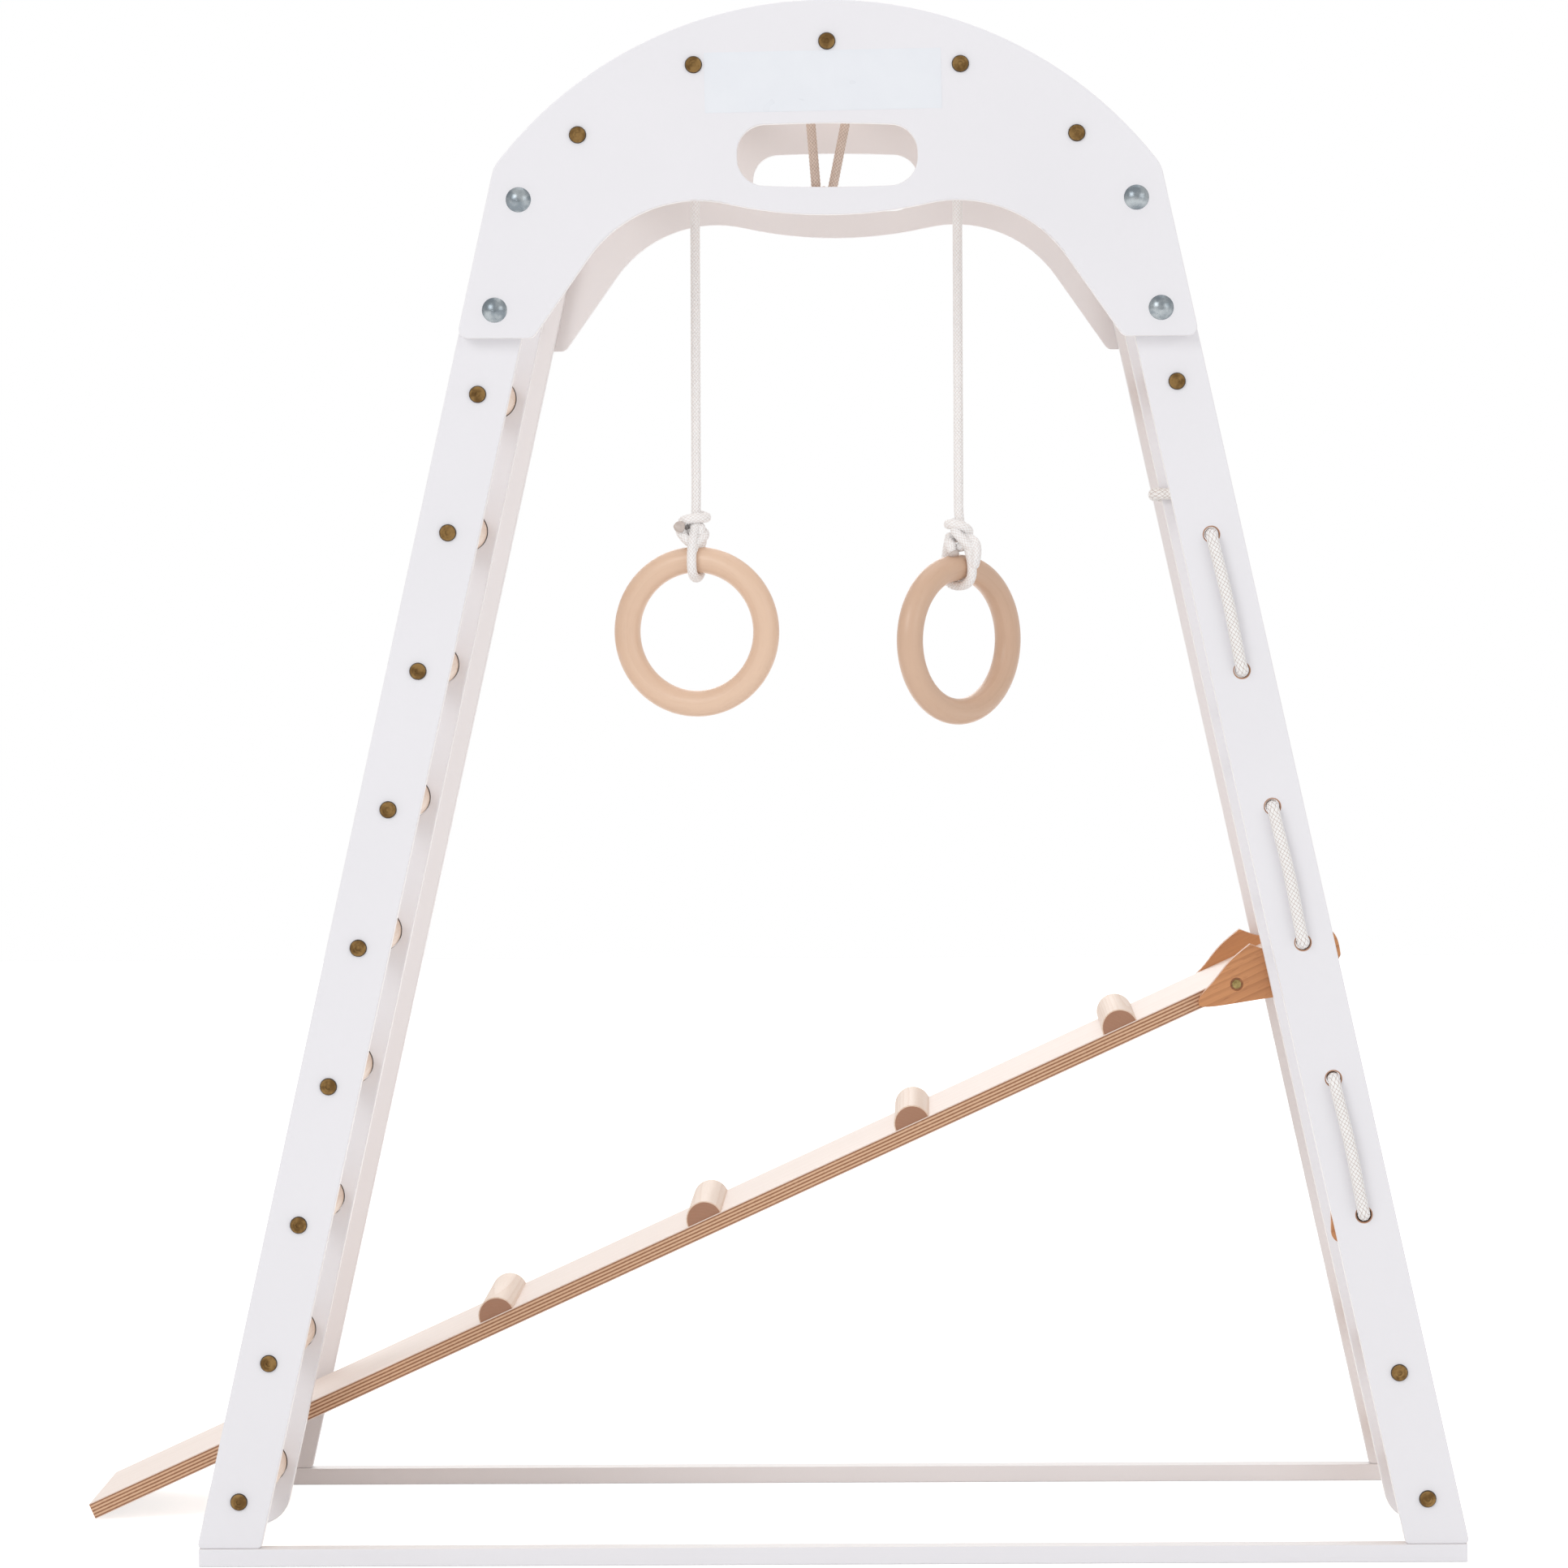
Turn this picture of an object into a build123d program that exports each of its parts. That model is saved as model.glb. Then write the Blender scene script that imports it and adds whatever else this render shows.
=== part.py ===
"""Indoor climbing frame: two arched side frames, a ladder, a laced rope, bars, rings and a ramp.

Millimetres. +Z is up and the floor is Z = 0. The front arch faces -Y, the ladder is on the left
(-X) and the ramp runs down to -X, out past the ladder. The pieces are laid out from the middle of
the frame, and at the end all are moved along X together, so that the origin lies on the floor
under the middle of the whole part, with the ramp.
"""
import os
from math import asin, atan2, cos, degrees, pi, radians, sin, sqrt, tan

from build123d import *

os.makedirs("parts", exist_ok=True)

# Overall
FRAME_HEIGHT = 1350.0
FRAME_DEPTH = 640.0
BOARD_THICKNESS = 18.0

# Posts, leaning inwards
POST_LEAN = 12.4
POST_WIDTH = 54.0
POST_FOOT_CENTRE = 522.0
POST_TOP_ROUND = 14.0
POST_FOOT_ROUND = 4.0
POST_ABOVE_BOLT = 20.0
BOARD_EDGE_ROUND = 1.2

# Rails under the posts
RAIL_HEIGHT = 15.0
RAIL_WIDTH = 26.0
RAIL_PAST_POST = -2.0
RAIL_EDGE_ROUND = 1.0

# Middle boards, round at both ends
MIDDLE_TOP = FRAME_HEIGHT - 225.0
MIDDLE_RUNG_PLAY = 0.7

# Arch
ARCH_TOP_RADIUS = 360.0
ARCH_SHOULDER_ROUND = 30.0
ARCH_LEG_FOOT = FRAME_HEIGHT - 291.0
ARCH_LEG_ROUND = 8.0
ARCH_CROWN_X = 112.0
ARCH_CROWN_HEIGHT = FRAME_HEIGHT - 173.0
ARCH_CROWN_RADIUS = 115.0
ARCH_THROAT_ANGLE = 55.0
ARCH_DIP_HEIGHT = FRAME_HEIGHT - 185.5

# Hand slot in each arch
SLOT_HEIGHT_ABOVE_FLOOR = FRAME_HEIGHT - 134.0
SLOT_LENGTH = 155.5
SLOT_END_HEIGHT = 50.5
SLOT_BOW = 2.4
SLOT_CORNER_ROUND = 24.0

# Blank label on the front arch
LABEL_WIDTH = 204.0
LABEL_HEIGHT = 52.0
LABEL_THICKNESS = 0.4
LABEL_CENTRE_X = -3.5
LABEL_CENTRE_HEIGHT = FRAME_HEIGHT - 70.0
LABEL_TURN = 1.0

# Round bars
BAR_DIAMETER = 36.0
BAR_END_CHAMFER = 1.0
RUNG_COUNT = 9
RUNG_FIRST_HEIGHT = 55.5
RUNG_TOP_DROP = 338.92
RIGHT_BAR_HEIGHTS = (54.0, 163.0, FRAME_HEIGHT - 330.0)
ARCH_BAR_SPREADS = (215.0, 115.0)
ARCH_BAR_DROPS = (116.0, 56.0, 36.0)
HOOK_BAR_HEIGHT = 478.5

# Connector bolts of antique brass, with a flat head and a hex socket
CONNECTOR_HEAD_DIAMETER = 15.0
CONNECTOR_HEAD_HEIGHT = 2.2
CONNECTOR_SHANK = 6.0
CONNECTOR_SHANK_LENGTH = 40.0
CONNECTOR_RECESS = 9.0
CONNECTOR_RECESS_DEPTH = 0.5
CONNECTOR_SOCKET = 5.0
CONNECTOR_SOCKET_DEPTH = 1.6
INSERT_DIAMETER = 10.0
INSERT_LENGTH = 15.0
INSERT_DEPTH = 8.0

# Domed bolts through arch and post
DOME_DIAMETER = 21.7
DOME_HEIGHT = 5.0
DOME_SHANK = 8.0
DOME_BOLT_LENGTH = 48.0
DOME_BOLT_HEIGHTS = (FRAME_HEIGHT - 266.7, FRAME_HEIGHT - 171.7)
WASHER_DIAMETER = 20.0
WASHER_THICKNESS = 1.6
NUT_ACROSS_FLATS = 13.0
NUT_HEIGHT = 6.5

# Screws up through the rails
RAIL_SCREW_SHANK = 4.5
RAIL_SCREW_HEAD = 9.0
RAIL_SCREW_LENGTH = 50.0
RAIL_SCREW_SPREAD = 26.0
FIT = 0.1

# Side rope, laced between the front right post and the middle right board
SIDE_ROPE_DIAMETER = 10.0
SIDE_ROPE_HOLE = 13.0
SIDE_ROPE_HOLE_RIM = 15.0
SIDE_ROPE_HOLE_COUNT = 6
SIDE_ROPE_LAST_HOLE = 299.6
SIDE_ROPE_FIRST_HOLE_DROP = 462.44
SIDE_ROPE_GAP = 0.6
SIDE_ROPE_BEND = 8.0
SIDE_ROPE_WRAP_BEND = 6.0
SIDE_ROPE_EASY_BEND = 30.0
SIDE_ROPE_LEAD = 12.0
MIDDLE_HOLE_SPREAD = 40.0
MIDDLE_HOLE_RISES = (0.0, 72.0)
SIDE_ROPE_WRAP_HEIGHT = FRAME_HEIGHT - 427.0
SIDE_ROPE_WRAP_DROP = 11.5
SIDE_ROPE_KNOT_DIAMETER = 24.0
WRAP_KNOT_WIDTH = 30.0
WRAP_KNOT_HEIGHT = 24.0
KNOT_TO_BOARD = 0.3
TOGGLE_WIDTH = 55.0
TOGGLE_HEIGHT = 36.0
TOGGLE_DROP = 8.0
TOGGLE_THICKNESS = 16.0
TOGGLE_ROUND = 10.0

# Rings and their ropes
RING_DIAMETER = 150.0
RING_SECTION = 23.0
RING_ROPE_DIAMETER = 8.0
RING_ROPE_Y = -150.0
LEFT_RING_HEIGHT = FRAME_HEIGHT - 547.0
RIGHT_RING_HEIGHT = FRAME_HEIGHT - 555.0
LEFT_ROPE_SHIFT = -4.0
RIGHT_ROPE_SHIFT = -2.6
LEFT_RING_TURN = -14.0
RIGHT_RING_TURN = 47.0
LOOSE_GAP = 0.4
BAR_KNOT_DROP = 50.0
BAR_KNOT_WIDTH = 30.0
BAR_KNOT_HEIGHT = 24.0
RING_KNOT_WIDTH = 31.0
RING_KNOT_HEIGHT = 30.0
RING_KNOT_RISE = 31.0

# Rope sling over the middle bar
SLING_Y = 0.0
SLING_DIAMETER = 8.0
SLING_FOOT_HEIGHT = FRAME_HEIGHT - 159.5
SLING_FOOT_RADIUS = 7.2
SLING_KNOT_WIDTH = 25.0
SLING_KNOT_HEIGHT = 20.0
SLING_KNOT_X = -8.0
SLING_LEAN = 3.4

# Ramp, hooked over its bar with its low end on the floor
RAMP_THICKNESS = 15.0
RAMP_LENGTH = 1202.0
RAMP_PAST_BAR = 11.0
RAMP_REST_GAP = 0.3
RAMP_EDGE_ROUND = 1.0
HOOK_THICKNESS = 15.0
HOOK_SIDE_GAP = 3.0
HOOK_NOTCH_GAP = 0.4
HOOK_SCREW_ALONG = 52.0
HOOK_SCREW_SINK = 12.0
HOOK_SCREW_HEAD = 8.0
HOOK_SCREW_SHANK = 4.0
HOOK_SCREW_LENGTH = 45.0
RIB_DIAMETER = 33.0
RIB_COUNT = 4
RIB_PITCH = 207.0
RIB_FIRST = 164.0
RIB_INSET = 2.0
RIB_END_CHAMFER = 1.0
RIB_SCREW_LENGTH = 25.0
RIB_SCREW_SPREAD = 150.0

# Levels in Y, from front to back
ARCH_FACE = FRAME_DEPTH / 2
POST_FACE = ARCH_FACE - BOARD_THICKNESS
POST_INNER = POST_FACE - BOARD_THICKNESS
MIDDLE_FACE = BOARD_THICKNESS / 2

# Lines of the leaning posts
LEAN = tan(radians(POST_LEAN))
HALF_POST_LEVEL = POST_WIDTH / 2 / cos(radians(POST_LEAN))
BAR_RADIUS = BAR_DIAMETER / 2


def centre_x(height):
    """Distance of a post's centre line from the middle of the frame at this height."""
    return POST_FOOT_CENTRE - (height - RAIL_HEIGHT) * LEAN


def front_plane(y):
    """Upright plane at this Y, seen from the front: local x is X and local y is Z."""
    return Plane(origin=(0, y, 0), x_dir=(1, 0, 0), z_dir=(0, -1, 0))


def spaced(lowest, highest, count):
    """Heights spaced evenly from the lowest to the highest."""
    return [lowest + step * (highest - lowest) / (count - 1) for step in range(count)]


RUNG_HEIGHTS = spaced(RUNG_FIRST_HEIGHT, FRAME_HEIGHT - RUNG_TOP_DROP, RUNG_COUNT)
LEFT_RUNGS = [(-centre_x(height), height) for height in RUNG_HEIGHTS]
RIGHT_BARS = [(centre_x(height), height) for height in RIGHT_BAR_HEIGHTS]
HOLE_HEIGHTS = spaced(SIDE_ROPE_LAST_HOLE, FRAME_HEIGHT - SIDE_ROPE_FIRST_HOLE_DROP, SIDE_ROPE_HOLE_COUNT)
ROPE_HOLES = [(centre_x(height), height) for height in reversed(HOLE_HEIGHTS)]
# Two holes in the middle board for each run behind the post, the lower pair raised clear of the hook bar
MIDDLE_HOLES = []
for upper, rise in zip((1, 3), MIDDLE_HOLE_RISES):
    between = (ROPE_HOLES[upper][1] + ROPE_HOLES[upper + 1][1]) / 2 + rise
    for height in (between + MIDDLE_HOLE_SPREAD / 2, between - MIDDLE_HOLE_SPREAD / 2):
        MIDDLE_HOLES.append((centre_x(height), height))
SIDE_DROPS = list(zip(ARCH_BAR_SPREADS, ARCH_BAR_DROPS))
ARCH_BAR_PLACES = [(-spread, FRAME_HEIGHT - drop) for spread, drop in SIDE_DROPS]
ARCH_BAR_PLACES += [(0.0, FRAME_HEIGHT - ARCH_BAR_DROPS[2])]
ARCH_BAR_PLACES += [(spread, FRAME_HEIGHT - drop) for spread, drop in reversed(SIDE_DROPS)]
HOOK_BAR = (centre_x(HOOK_BAR_HEIGHT), HOOK_BAR_HEIGHT)
DOME_BOLTS = [(side * centre_x(height), height) for side in (-1, 1) for height in DOME_BOLT_HEIGHTS]


PIECES = {}


def save(part, name):
    """Keep a finished piece. All are written at the end, once the whole part's width is known."""
    PIECES[name] = part


# Posts

POST_TOP = max(DOME_BOLT_HEIGHTS) + POST_ABOVE_BOLT


def post_outline(side):
    """Leaning board with a level foot and a top cut square, on one side of the frame."""
    foot = [
        (side * (centre_x(RAIL_HEIGHT) - HALF_POST_LEVEL), RAIL_HEIGHT),
        (side * (centre_x(RAIL_HEIGHT) + HALF_POST_LEVEL), RAIL_HEIGHT),
    ]
    across = (cos(radians(POST_LEAN)) * POST_WIDTH / 2, sin(radians(POST_LEAN)) * POST_WIDTH / 2)
    top_x = centre_x(POST_TOP)
    top = [
        (side * (top_x + across[0]), POST_TOP + across[1]),
        (side * (top_x - across[0]), POST_TOP - across[1]),
    ]
    with BuildSketch() as outline:
        with BuildLine():
            Polyline(*foot, *top, close=True)
        make_face()
        fillet(outline.vertices().sort_by(Axis.Y)[:2], POST_FOOT_ROUND)
        fillet(outline.vertices().sort_by(Axis.Y)[-2:], POST_TOP_ROUND)
    return outline.sketch


def drill(places, diameter):
    with Locations(*places):
        Circle(diameter / 2, mode=Mode.SUBTRACT)


def round_edges(board):
    """Round the long edges on both faces of an upright board."""
    sides = board.faces().filter_by(Axis.Y)
    fillet([edge for side in sides for edge in side.outer_wire().edges()], BOARD_EDGE_ROUND)


def make_post(name, side, front, bars, rope_holes=()):
    """One post of the front or back frame. Bars meet it, bolts and screws pass through it."""
    face = -POST_FACE if front else POST_INNER
    with BuildPart() as post:
        with BuildSketch(front_plane(face)):
            add(post_outline(side))
            if bars:
                drill(bars, CONNECTOR_SHANK + 2 * FIT)
            drill([place for place in DOME_BOLTS if place[0] * side > 0], DOME_SHANK + 2 * FIT)
            if rope_holes:
                drill(rope_holes, SIDE_ROPE_HOLE)
        extrude(amount=-BOARD_THICKNESS)
        round_edges(post)
        if rope_holes:
            rims = post.edges().filter_by(GeomType.CIRCLE).filter_by(
                lambda edge: abs(edge.radius - SIDE_ROPE_HOLE / 2) < FIT / 2
            )
            chamfer(rims, (SIDE_ROPE_HOLE_RIM - SIDE_ROPE_HOLE) / 2)
        middle_y = face + BOARD_THICKNESS / 2
        with BuildSketch(Plane.XY.offset(RAIL_HEIGHT)):
            for shift in (-0.5, 0.5):
                with Locations((side * centre_x(RAIL_HEIGHT) + shift * RAIL_SCREW_SPREAD, middle_y)):
                    Circle(RAIL_SCREW_SHANK / 2 + FIT)
        extrude(amount=RAIL_SCREW_LENGTH - RAIL_HEIGHT, mode=Mode.SUBTRACT)
    save(post.part, name)


make_post("front_left_post", -1, True, LEFT_RUNGS)
make_post("front_right_post", 1, True, RIGHT_BARS, ROPE_HOLES)
make_post("back_left_post", -1, False, [])
make_post("back_right_post", 1, False, RIGHT_BARS + [HOOK_BAR])

# Middle boards, threaded on the bars and standing on the floor


def make_middle_board(name, side, bars, blind, rope_holes=()):
    foot = POST_WIDTH / 2
    top = MIDDLE_TOP - POST_WIDTH / 2
    length = (top - foot) / cos(radians(POST_LEAN))
    middle = ((centre_x(foot) + centre_x(top)) / 2 * side, (foot + top) / 2)
    with BuildPart() as board:
        with BuildSketch(front_plane(-MIDDLE_FACE)):
            with Locations(middle):
                SlotCenterToCenter(length, POST_WIDTH, rotation=90 + side * POST_LEAN)
            drill(bars, BAR_DIAMETER + 2 * MIDDLE_RUNG_PLAY)
            if blind:
                drill(blind, CONNECTOR_SHANK + 2 * FIT)
            if rope_holes:
                drill(rope_holes, SIDE_ROPE_HOLE)
        extrude(amount=-BOARD_THICKNESS)
        round_edges(board)
        if rope_holes:
            rims = board.edges().filter_by(GeomType.CIRCLE).filter_by(
                lambda edge: abs(edge.radius - SIDE_ROPE_HOLE / 2) < FIT / 2
            )
            chamfer(rims, (SIDE_ROPE_HOLE_RIM - SIDE_ROPE_HOLE) / 2)
    save(board.part, name)


make_middle_board("middle_left_board", -1, LEFT_RUNGS, [])
make_middle_board("middle_right_board", 1, RIGHT_BARS, [HOOK_BAR], MIDDLE_HOLES)

# Arches


def outer_edge(height):
    return centre_x(height) + HALF_POST_LEVEL


def shoulder_point():
    """Where the top arc meets the leaning outer edge."""
    middle = FRAME_HEIGHT - ARCH_TOP_RADIUS
    base = outer_edge(middle)
    quad = 1 + LEAN**2
    rise = (base * LEAN + sqrt(quad * ARCH_TOP_RADIUS**2 - base**2)) / quad
    return (base - rise * LEAN, middle + rise)


def arch_half():
    """Right half of an arch, from the middle line out along the top and back underneath."""
    shoulder = shoulder_point()
    top_middle = FRAME_HEIGHT - ARCH_TOP_RADIUS
    half_turn = asin(shoulder[0] / ARCH_TOP_RADIUS) / 2
    top_between = (ARCH_TOP_RADIUS * sin(half_turn), top_middle + ARCH_TOP_RADIUS * cos(half_turn))
    crown_centre = (ARCH_CROWN_X, ARCH_CROWN_HEIGHT - ARCH_CROWN_RADIUS)
    throat = radians(ARCH_THROAT_ANGLE)
    throat_point = (
        crown_centre[0] + ARCH_CROWN_RADIUS * sin(throat),
        crown_centre[1] + ARCH_CROWN_RADIUS * cos(throat),
    )
    leg_inner = throat_point[0] + (throat_point[1] - ARCH_LEG_FOOT) / tan(throat)
    below = ARCH_DIP_HEIGHT - crown_centre[1]
    dip_radius = (ARCH_CROWN_X**2 + below**2 - ARCH_CROWN_RADIUS**2) / (2 * (ARCH_CROWN_RADIUS - below))
    dip_centre = (0.0, ARCH_DIP_HEIGHT + dip_radius)
    share = ARCH_CROWN_RADIUS / (ARCH_CROWN_RADIUS + dip_radius)
    joint = (
        crown_centre[0] + share * (dip_centre[0] - crown_centre[0]),
        crown_centre[1] + share * (dip_centre[1] - crown_centre[1]),
    )
    dip_turn = asin(joint[0] / dip_radius) / 2
    dip_between = (dip_radius * sin(dip_turn), dip_centre[1] - dip_radius * cos(dip_turn))
    leg_outer = outer_edge(ARCH_LEG_FOOT)
    with BuildSketch() as half:
        with BuildLine():
            ThreePointArc((0, FRAME_HEIGHT), top_between, shoulder)
            Polyline(shoulder, (leg_outer, ARCH_LEG_FOOT), (leg_inner, ARCH_LEG_FOOT), throat_point)
            ThreePointArc(throat_point, (ARCH_CROWN_X, ARCH_CROWN_HEIGHT), joint)
            ThreePointArc(joint, dip_between, (0, ARCH_DIP_HEIGHT))
            Line((0, ARCH_DIP_HEIGHT), (0, FRAME_HEIGHT))
        make_face()
        for corner, size in (
            ((leg_outer, ARCH_LEG_FOOT), ARCH_LEG_ROUND),
            ((leg_inner, ARCH_LEG_FOOT), ARCH_LEG_ROUND),
            (shoulder, ARCH_SHOULDER_ROUND),
        ):
            fillet(half.vertices().sort_by_distance(corner)[:1], size)
    return half.sketch


def slot_outline():
    """Hand slot with round corners, its long edges a little bowed."""
    half = SLOT_LENGTH / 2
    low = SLOT_HEIGHT_ABOVE_FLOOR - SLOT_END_HEIGHT / 2
    high = SLOT_HEIGHT_ABOVE_FLOOR + SLOT_END_HEIGHT / 2
    with BuildSketch() as slot:
        with BuildLine():
            ThreePointArc((-half, high), (0, high + SLOT_BOW), (half, high))
            Line((half, high), (half, low))
            ThreePointArc((half, low), (0, low - SLOT_BOW), (-half, low))
            Line((-half, low), (-half, high))
        make_face()
        fillet(slot.vertices(), SLOT_CORNER_ROUND)
    return slot.sketch


def make_arch(name, front):
    face = -ARCH_FACE if front else POST_FACE
    with BuildPart() as arch:
        with BuildSketch(front_plane(face)):
            add(arch_half())
            mirror(about=Plane.YZ)
            add(slot_outline(), mode=Mode.SUBTRACT)
            drill(ARCH_BAR_PLACES, CONNECTOR_SHANK + 2 * FIT)
            drill(DOME_BOLTS, DOME_SHANK + 2 * FIT)
        extrude(amount=-BOARD_THICKNESS)
        outer_y = -ARCH_FACE if front else ARCH_FACE
        outer_face = arch.faces().filter_by(Axis.Y).sort_by(lambda f: abs(f.center().Y - outer_y))[0]
        slot_wires = [wire for wire in outer_face.inner_wires() if wire.bounding_box().size.X > SLOT_LENGTH / 2]
        rims = outer_face.outer_wire().edges() + slot_wires[0].edges()
        fillet(rims, BOARD_EDGE_ROUND)
    save(arch.part, name)


make_arch("front_arch", True)
make_arch("back_arch", False)

with BuildPart() as label_plate:
    with BuildSketch(front_plane(-ARCH_FACE)):
        with Locations((LABEL_CENTRE_X, LABEL_CENTRE_HEIGHT)):
            Rectangle(LABEL_WIDTH, LABEL_HEIGHT, rotation=LABEL_TURN)
    extrude(amount=LABEL_THICKNESS)
save(label_plate.part, "label_plate")

# Rails

RAIL_HALF_LENGTH = centre_x(RAIL_HEIGHT) + HALF_POST_LEVEL + RAIL_PAST_POST
POST_MIDDLE_Y = POST_FACE - BOARD_THICKNESS / 2
RAIL_SCREW_X = [
    side * centre_x(RAIL_HEIGHT) + shift * RAIL_SCREW_SPREAD for side in (-1, 1) for shift in (-0.5, 0.5)
]


def make_rail(name, y):
    with BuildPart() as rail:
        with Locations((0, y, RAIL_HEIGHT / 2)):
            Box(2 * RAIL_HALF_LENGTH, RAIL_WIDTH, RAIL_HEIGHT)
        fillet(rail.edges().filter_by(Axis.X), RAIL_EDGE_ROUND)
        with Locations(*[Location((x, y, 0), (180, 0, 0)) for x in RAIL_SCREW_X]):
            CounterSinkHole(RAIL_SCREW_SHANK / 2 + FIT, RAIL_SCREW_HEAD / 2 + FIT, counter_sink_angle=90)
    save(rail.part, name)


make_rail("front_rail", -POST_MIDDLE_Y)
make_rail("back_rail", POST_MIDDLE_Y)

# Bars

POCKET = INSERT_DEPTH + INSERT_LENGTH
BOLT_REACH = CONNECTOR_SHANK_LENGTH - BOARD_THICKNESS + FIT


def make_bar(name, place, y_from, y_to, bolted_far=True):
    """Round bar along Y with a pocket for its insert and bolt in each bolted end."""
    with BuildPart() as bar:
        with BuildSketch(front_plane(y_from)):
            with Locations(place):
                Circle(BAR_RADIUS)
        extrude(amount=-(y_to - y_from))
        chamfer(bar.edges().filter_by(GeomType.CIRCLE), BAR_END_CHAMFER)
        for end, into in ((y_from, -1), (y_to, 1))[: 2 if bolted_far else 1]:
            with BuildSketch(front_plane(end)):
                with Locations(place):
                    Circle(INSERT_DIAMETER / 2)
            extrude(amount=into * POCKET, mode=Mode.SUBTRACT)
    save(bar.part, name)


for number, place in enumerate(reversed(LEFT_RUNGS), start=1):
    make_bar(f"ladder_rung_{number}", place, -POST_INNER, MIDDLE_FACE, bolted_far=False)
for number, place in enumerate(reversed(RIGHT_BARS), start=1):
    make_bar(f"right_bar_{number}", place, -POST_INNER, POST_INNER)
for number, place in enumerate(ARCH_BAR_PLACES, start=1):
    make_bar(f"arch_bar_{number}", place, -POST_FACE, POST_FACE)
make_bar("hook_bar", HOOK_BAR, MIDDLE_FACE, POST_INNER)

# Connector bolts and the inserts they screw into, each as (place, face, direction out)

CONNECTORS = [(place, -POST_FACE, -1) for place in LEFT_RUNGS]
for place in RIGHT_BARS:
    CONNECTORS += [(place, -POST_FACE, -1), (place, POST_FACE, 1)]
for place in ARCH_BAR_PLACES:
    CONNECTORS += [(place, -ARCH_FACE, -1), (place, ARCH_FACE, 1)]
CONNECTORS += [(HOOK_BAR, -MIDDLE_FACE, -1), (HOOK_BAR, POST_FACE, 1)]

with BuildPart() as connector_bolts:
    for place, face, out in CONNECTORS:
        with BuildSketch(front_plane(face)):
            with Locations(place):
                Circle(CONNECTOR_HEAD_DIAMETER / 2)
        extrude(amount=-out * CONNECTOR_HEAD_HEIGHT, taper=18)
        with BuildSketch(front_plane(face + out * CONNECTOR_HEAD_HEIGHT)):
            with Locations(place):
                Circle(CONNECTOR_RECESS / 2)
        extrude(amount=out * CONNECTOR_RECESS_DEPTH, mode=Mode.SUBTRACT)
        with BuildSketch(front_plane(face + out * CONNECTOR_HEAD_HEIGHT)):
            with Locations(place):
                RegularPolygon(CONNECTOR_SOCKET / 2, 6)
        extrude(amount=out * CONNECTOR_SOCKET_DEPTH, mode=Mode.SUBTRACT)
        with BuildSketch(front_plane(face)):
            with Locations(place):
                Circle(CONNECTOR_SHANK / 2)
        extrude(amount=out * CONNECTOR_SHANK_LENGTH)
save(connector_bolts.part, "connector_bolts")

with BuildPart() as thread_inserts:
    for place, face, out in CONNECTORS:
        with BuildSketch(front_plane(face - out * (BOARD_THICKNESS + INSERT_DEPTH))):
            with Locations(place):
                Circle(INSERT_DIAMETER / 2)
                Circle(CONNECTOR_SHANK / 2, mode=Mode.SUBTRACT)
        extrude(amount=out * INSERT_LENGTH)
save(thread_inserts.part, "thread_inserts")

# Domed bolts with washers and nuts

DOME_SIDES = [(place, out) for out in (-1, 1) for place in DOME_BOLTS]


def dome_radius():
    return (DOME_HEIGHT**2 + (DOME_DIAMETER / 2) ** 2) / (2 * DOME_HEIGHT)


def outward(place, y, out):
    """Plane at this place whose local z points out of the frame."""
    return Plane(origin=(place[0], y, place[1]), x_dir=(1, 0, 0), z_dir=(0, out, 0))


with BuildPart() as arch_bolts:
    for place, out in DOME_SIDES:
        with BuildSketch(Plane(origin=(place[0], out * ARCH_FACE, place[1]), x_dir=(1, 0, 0), z_dir=(0, 0, out))):
            with BuildLine():
                Line((0, 0), (DOME_DIAMETER / 2, 0))
                RadiusArc((DOME_DIAMETER / 2, 0), (0, DOME_HEIGHT), -dome_radius())
                Line((0, DOME_HEIGHT), (0, 0))
            make_face()
        revolve(axis=Axis((place[0], 0, place[1]), (0, 1, 0)))
        with BuildSketch(outward(place, out * ARCH_FACE, out)):
            Circle(DOME_SHANK / 2)
        extrude(amount=-DOME_BOLT_LENGTH)
save(arch_bolts.part, "arch_bolts")

with BuildPart() as arch_bolt_washers:
    for place, out in DOME_SIDES:
        with BuildSketch(outward(place, out * POST_INNER, out)):
            Circle(WASHER_DIAMETER / 2)
            Circle(DOME_SHANK / 2 + FIT, mode=Mode.SUBTRACT)
        extrude(amount=-WASHER_THICKNESS)
save(arch_bolt_washers.part, "arch_bolt_washers")

with BuildPart() as arch_bolt_nuts:
    for place, out in DOME_SIDES:
        with BuildSketch(outward(place, out * (POST_INNER - WASHER_THICKNESS), out)):
            RegularPolygon(NUT_ACROSS_FLATS / 2, 6, major_radius=False)
            Circle(DOME_SHANK / 2, mode=Mode.SUBTRACT)
        extrude(amount=-NUT_HEIGHT)
save(arch_bolt_nuts.part, "arch_bolt_nuts")

# Screws up through the rails into the post feet

with BuildPart() as rail_screws:
    for y in (-POST_MIDDLE_Y, POST_MIDDLE_Y):
        for x in RAIL_SCREW_X:
            sink = (RAIL_SCREW_HEAD - RAIL_SCREW_SHANK) / 2
            with Locations((x, y, 0)):
                Cone(
                    RAIL_SCREW_HEAD / 2,
                    RAIL_SCREW_SHANK / 2,
                    sink,
                    align=(Align.CENTER, Align.CENTER, Align.MIN),
                )
                Cylinder(
                    RAIL_SCREW_SHANK / 2,
                    RAIL_SCREW_LENGTH,
                    align=(Align.CENTER, Align.CENTER, Align.MIN),
                )
save(rail_screws.part, "rail_screws")

# Ropes


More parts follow.
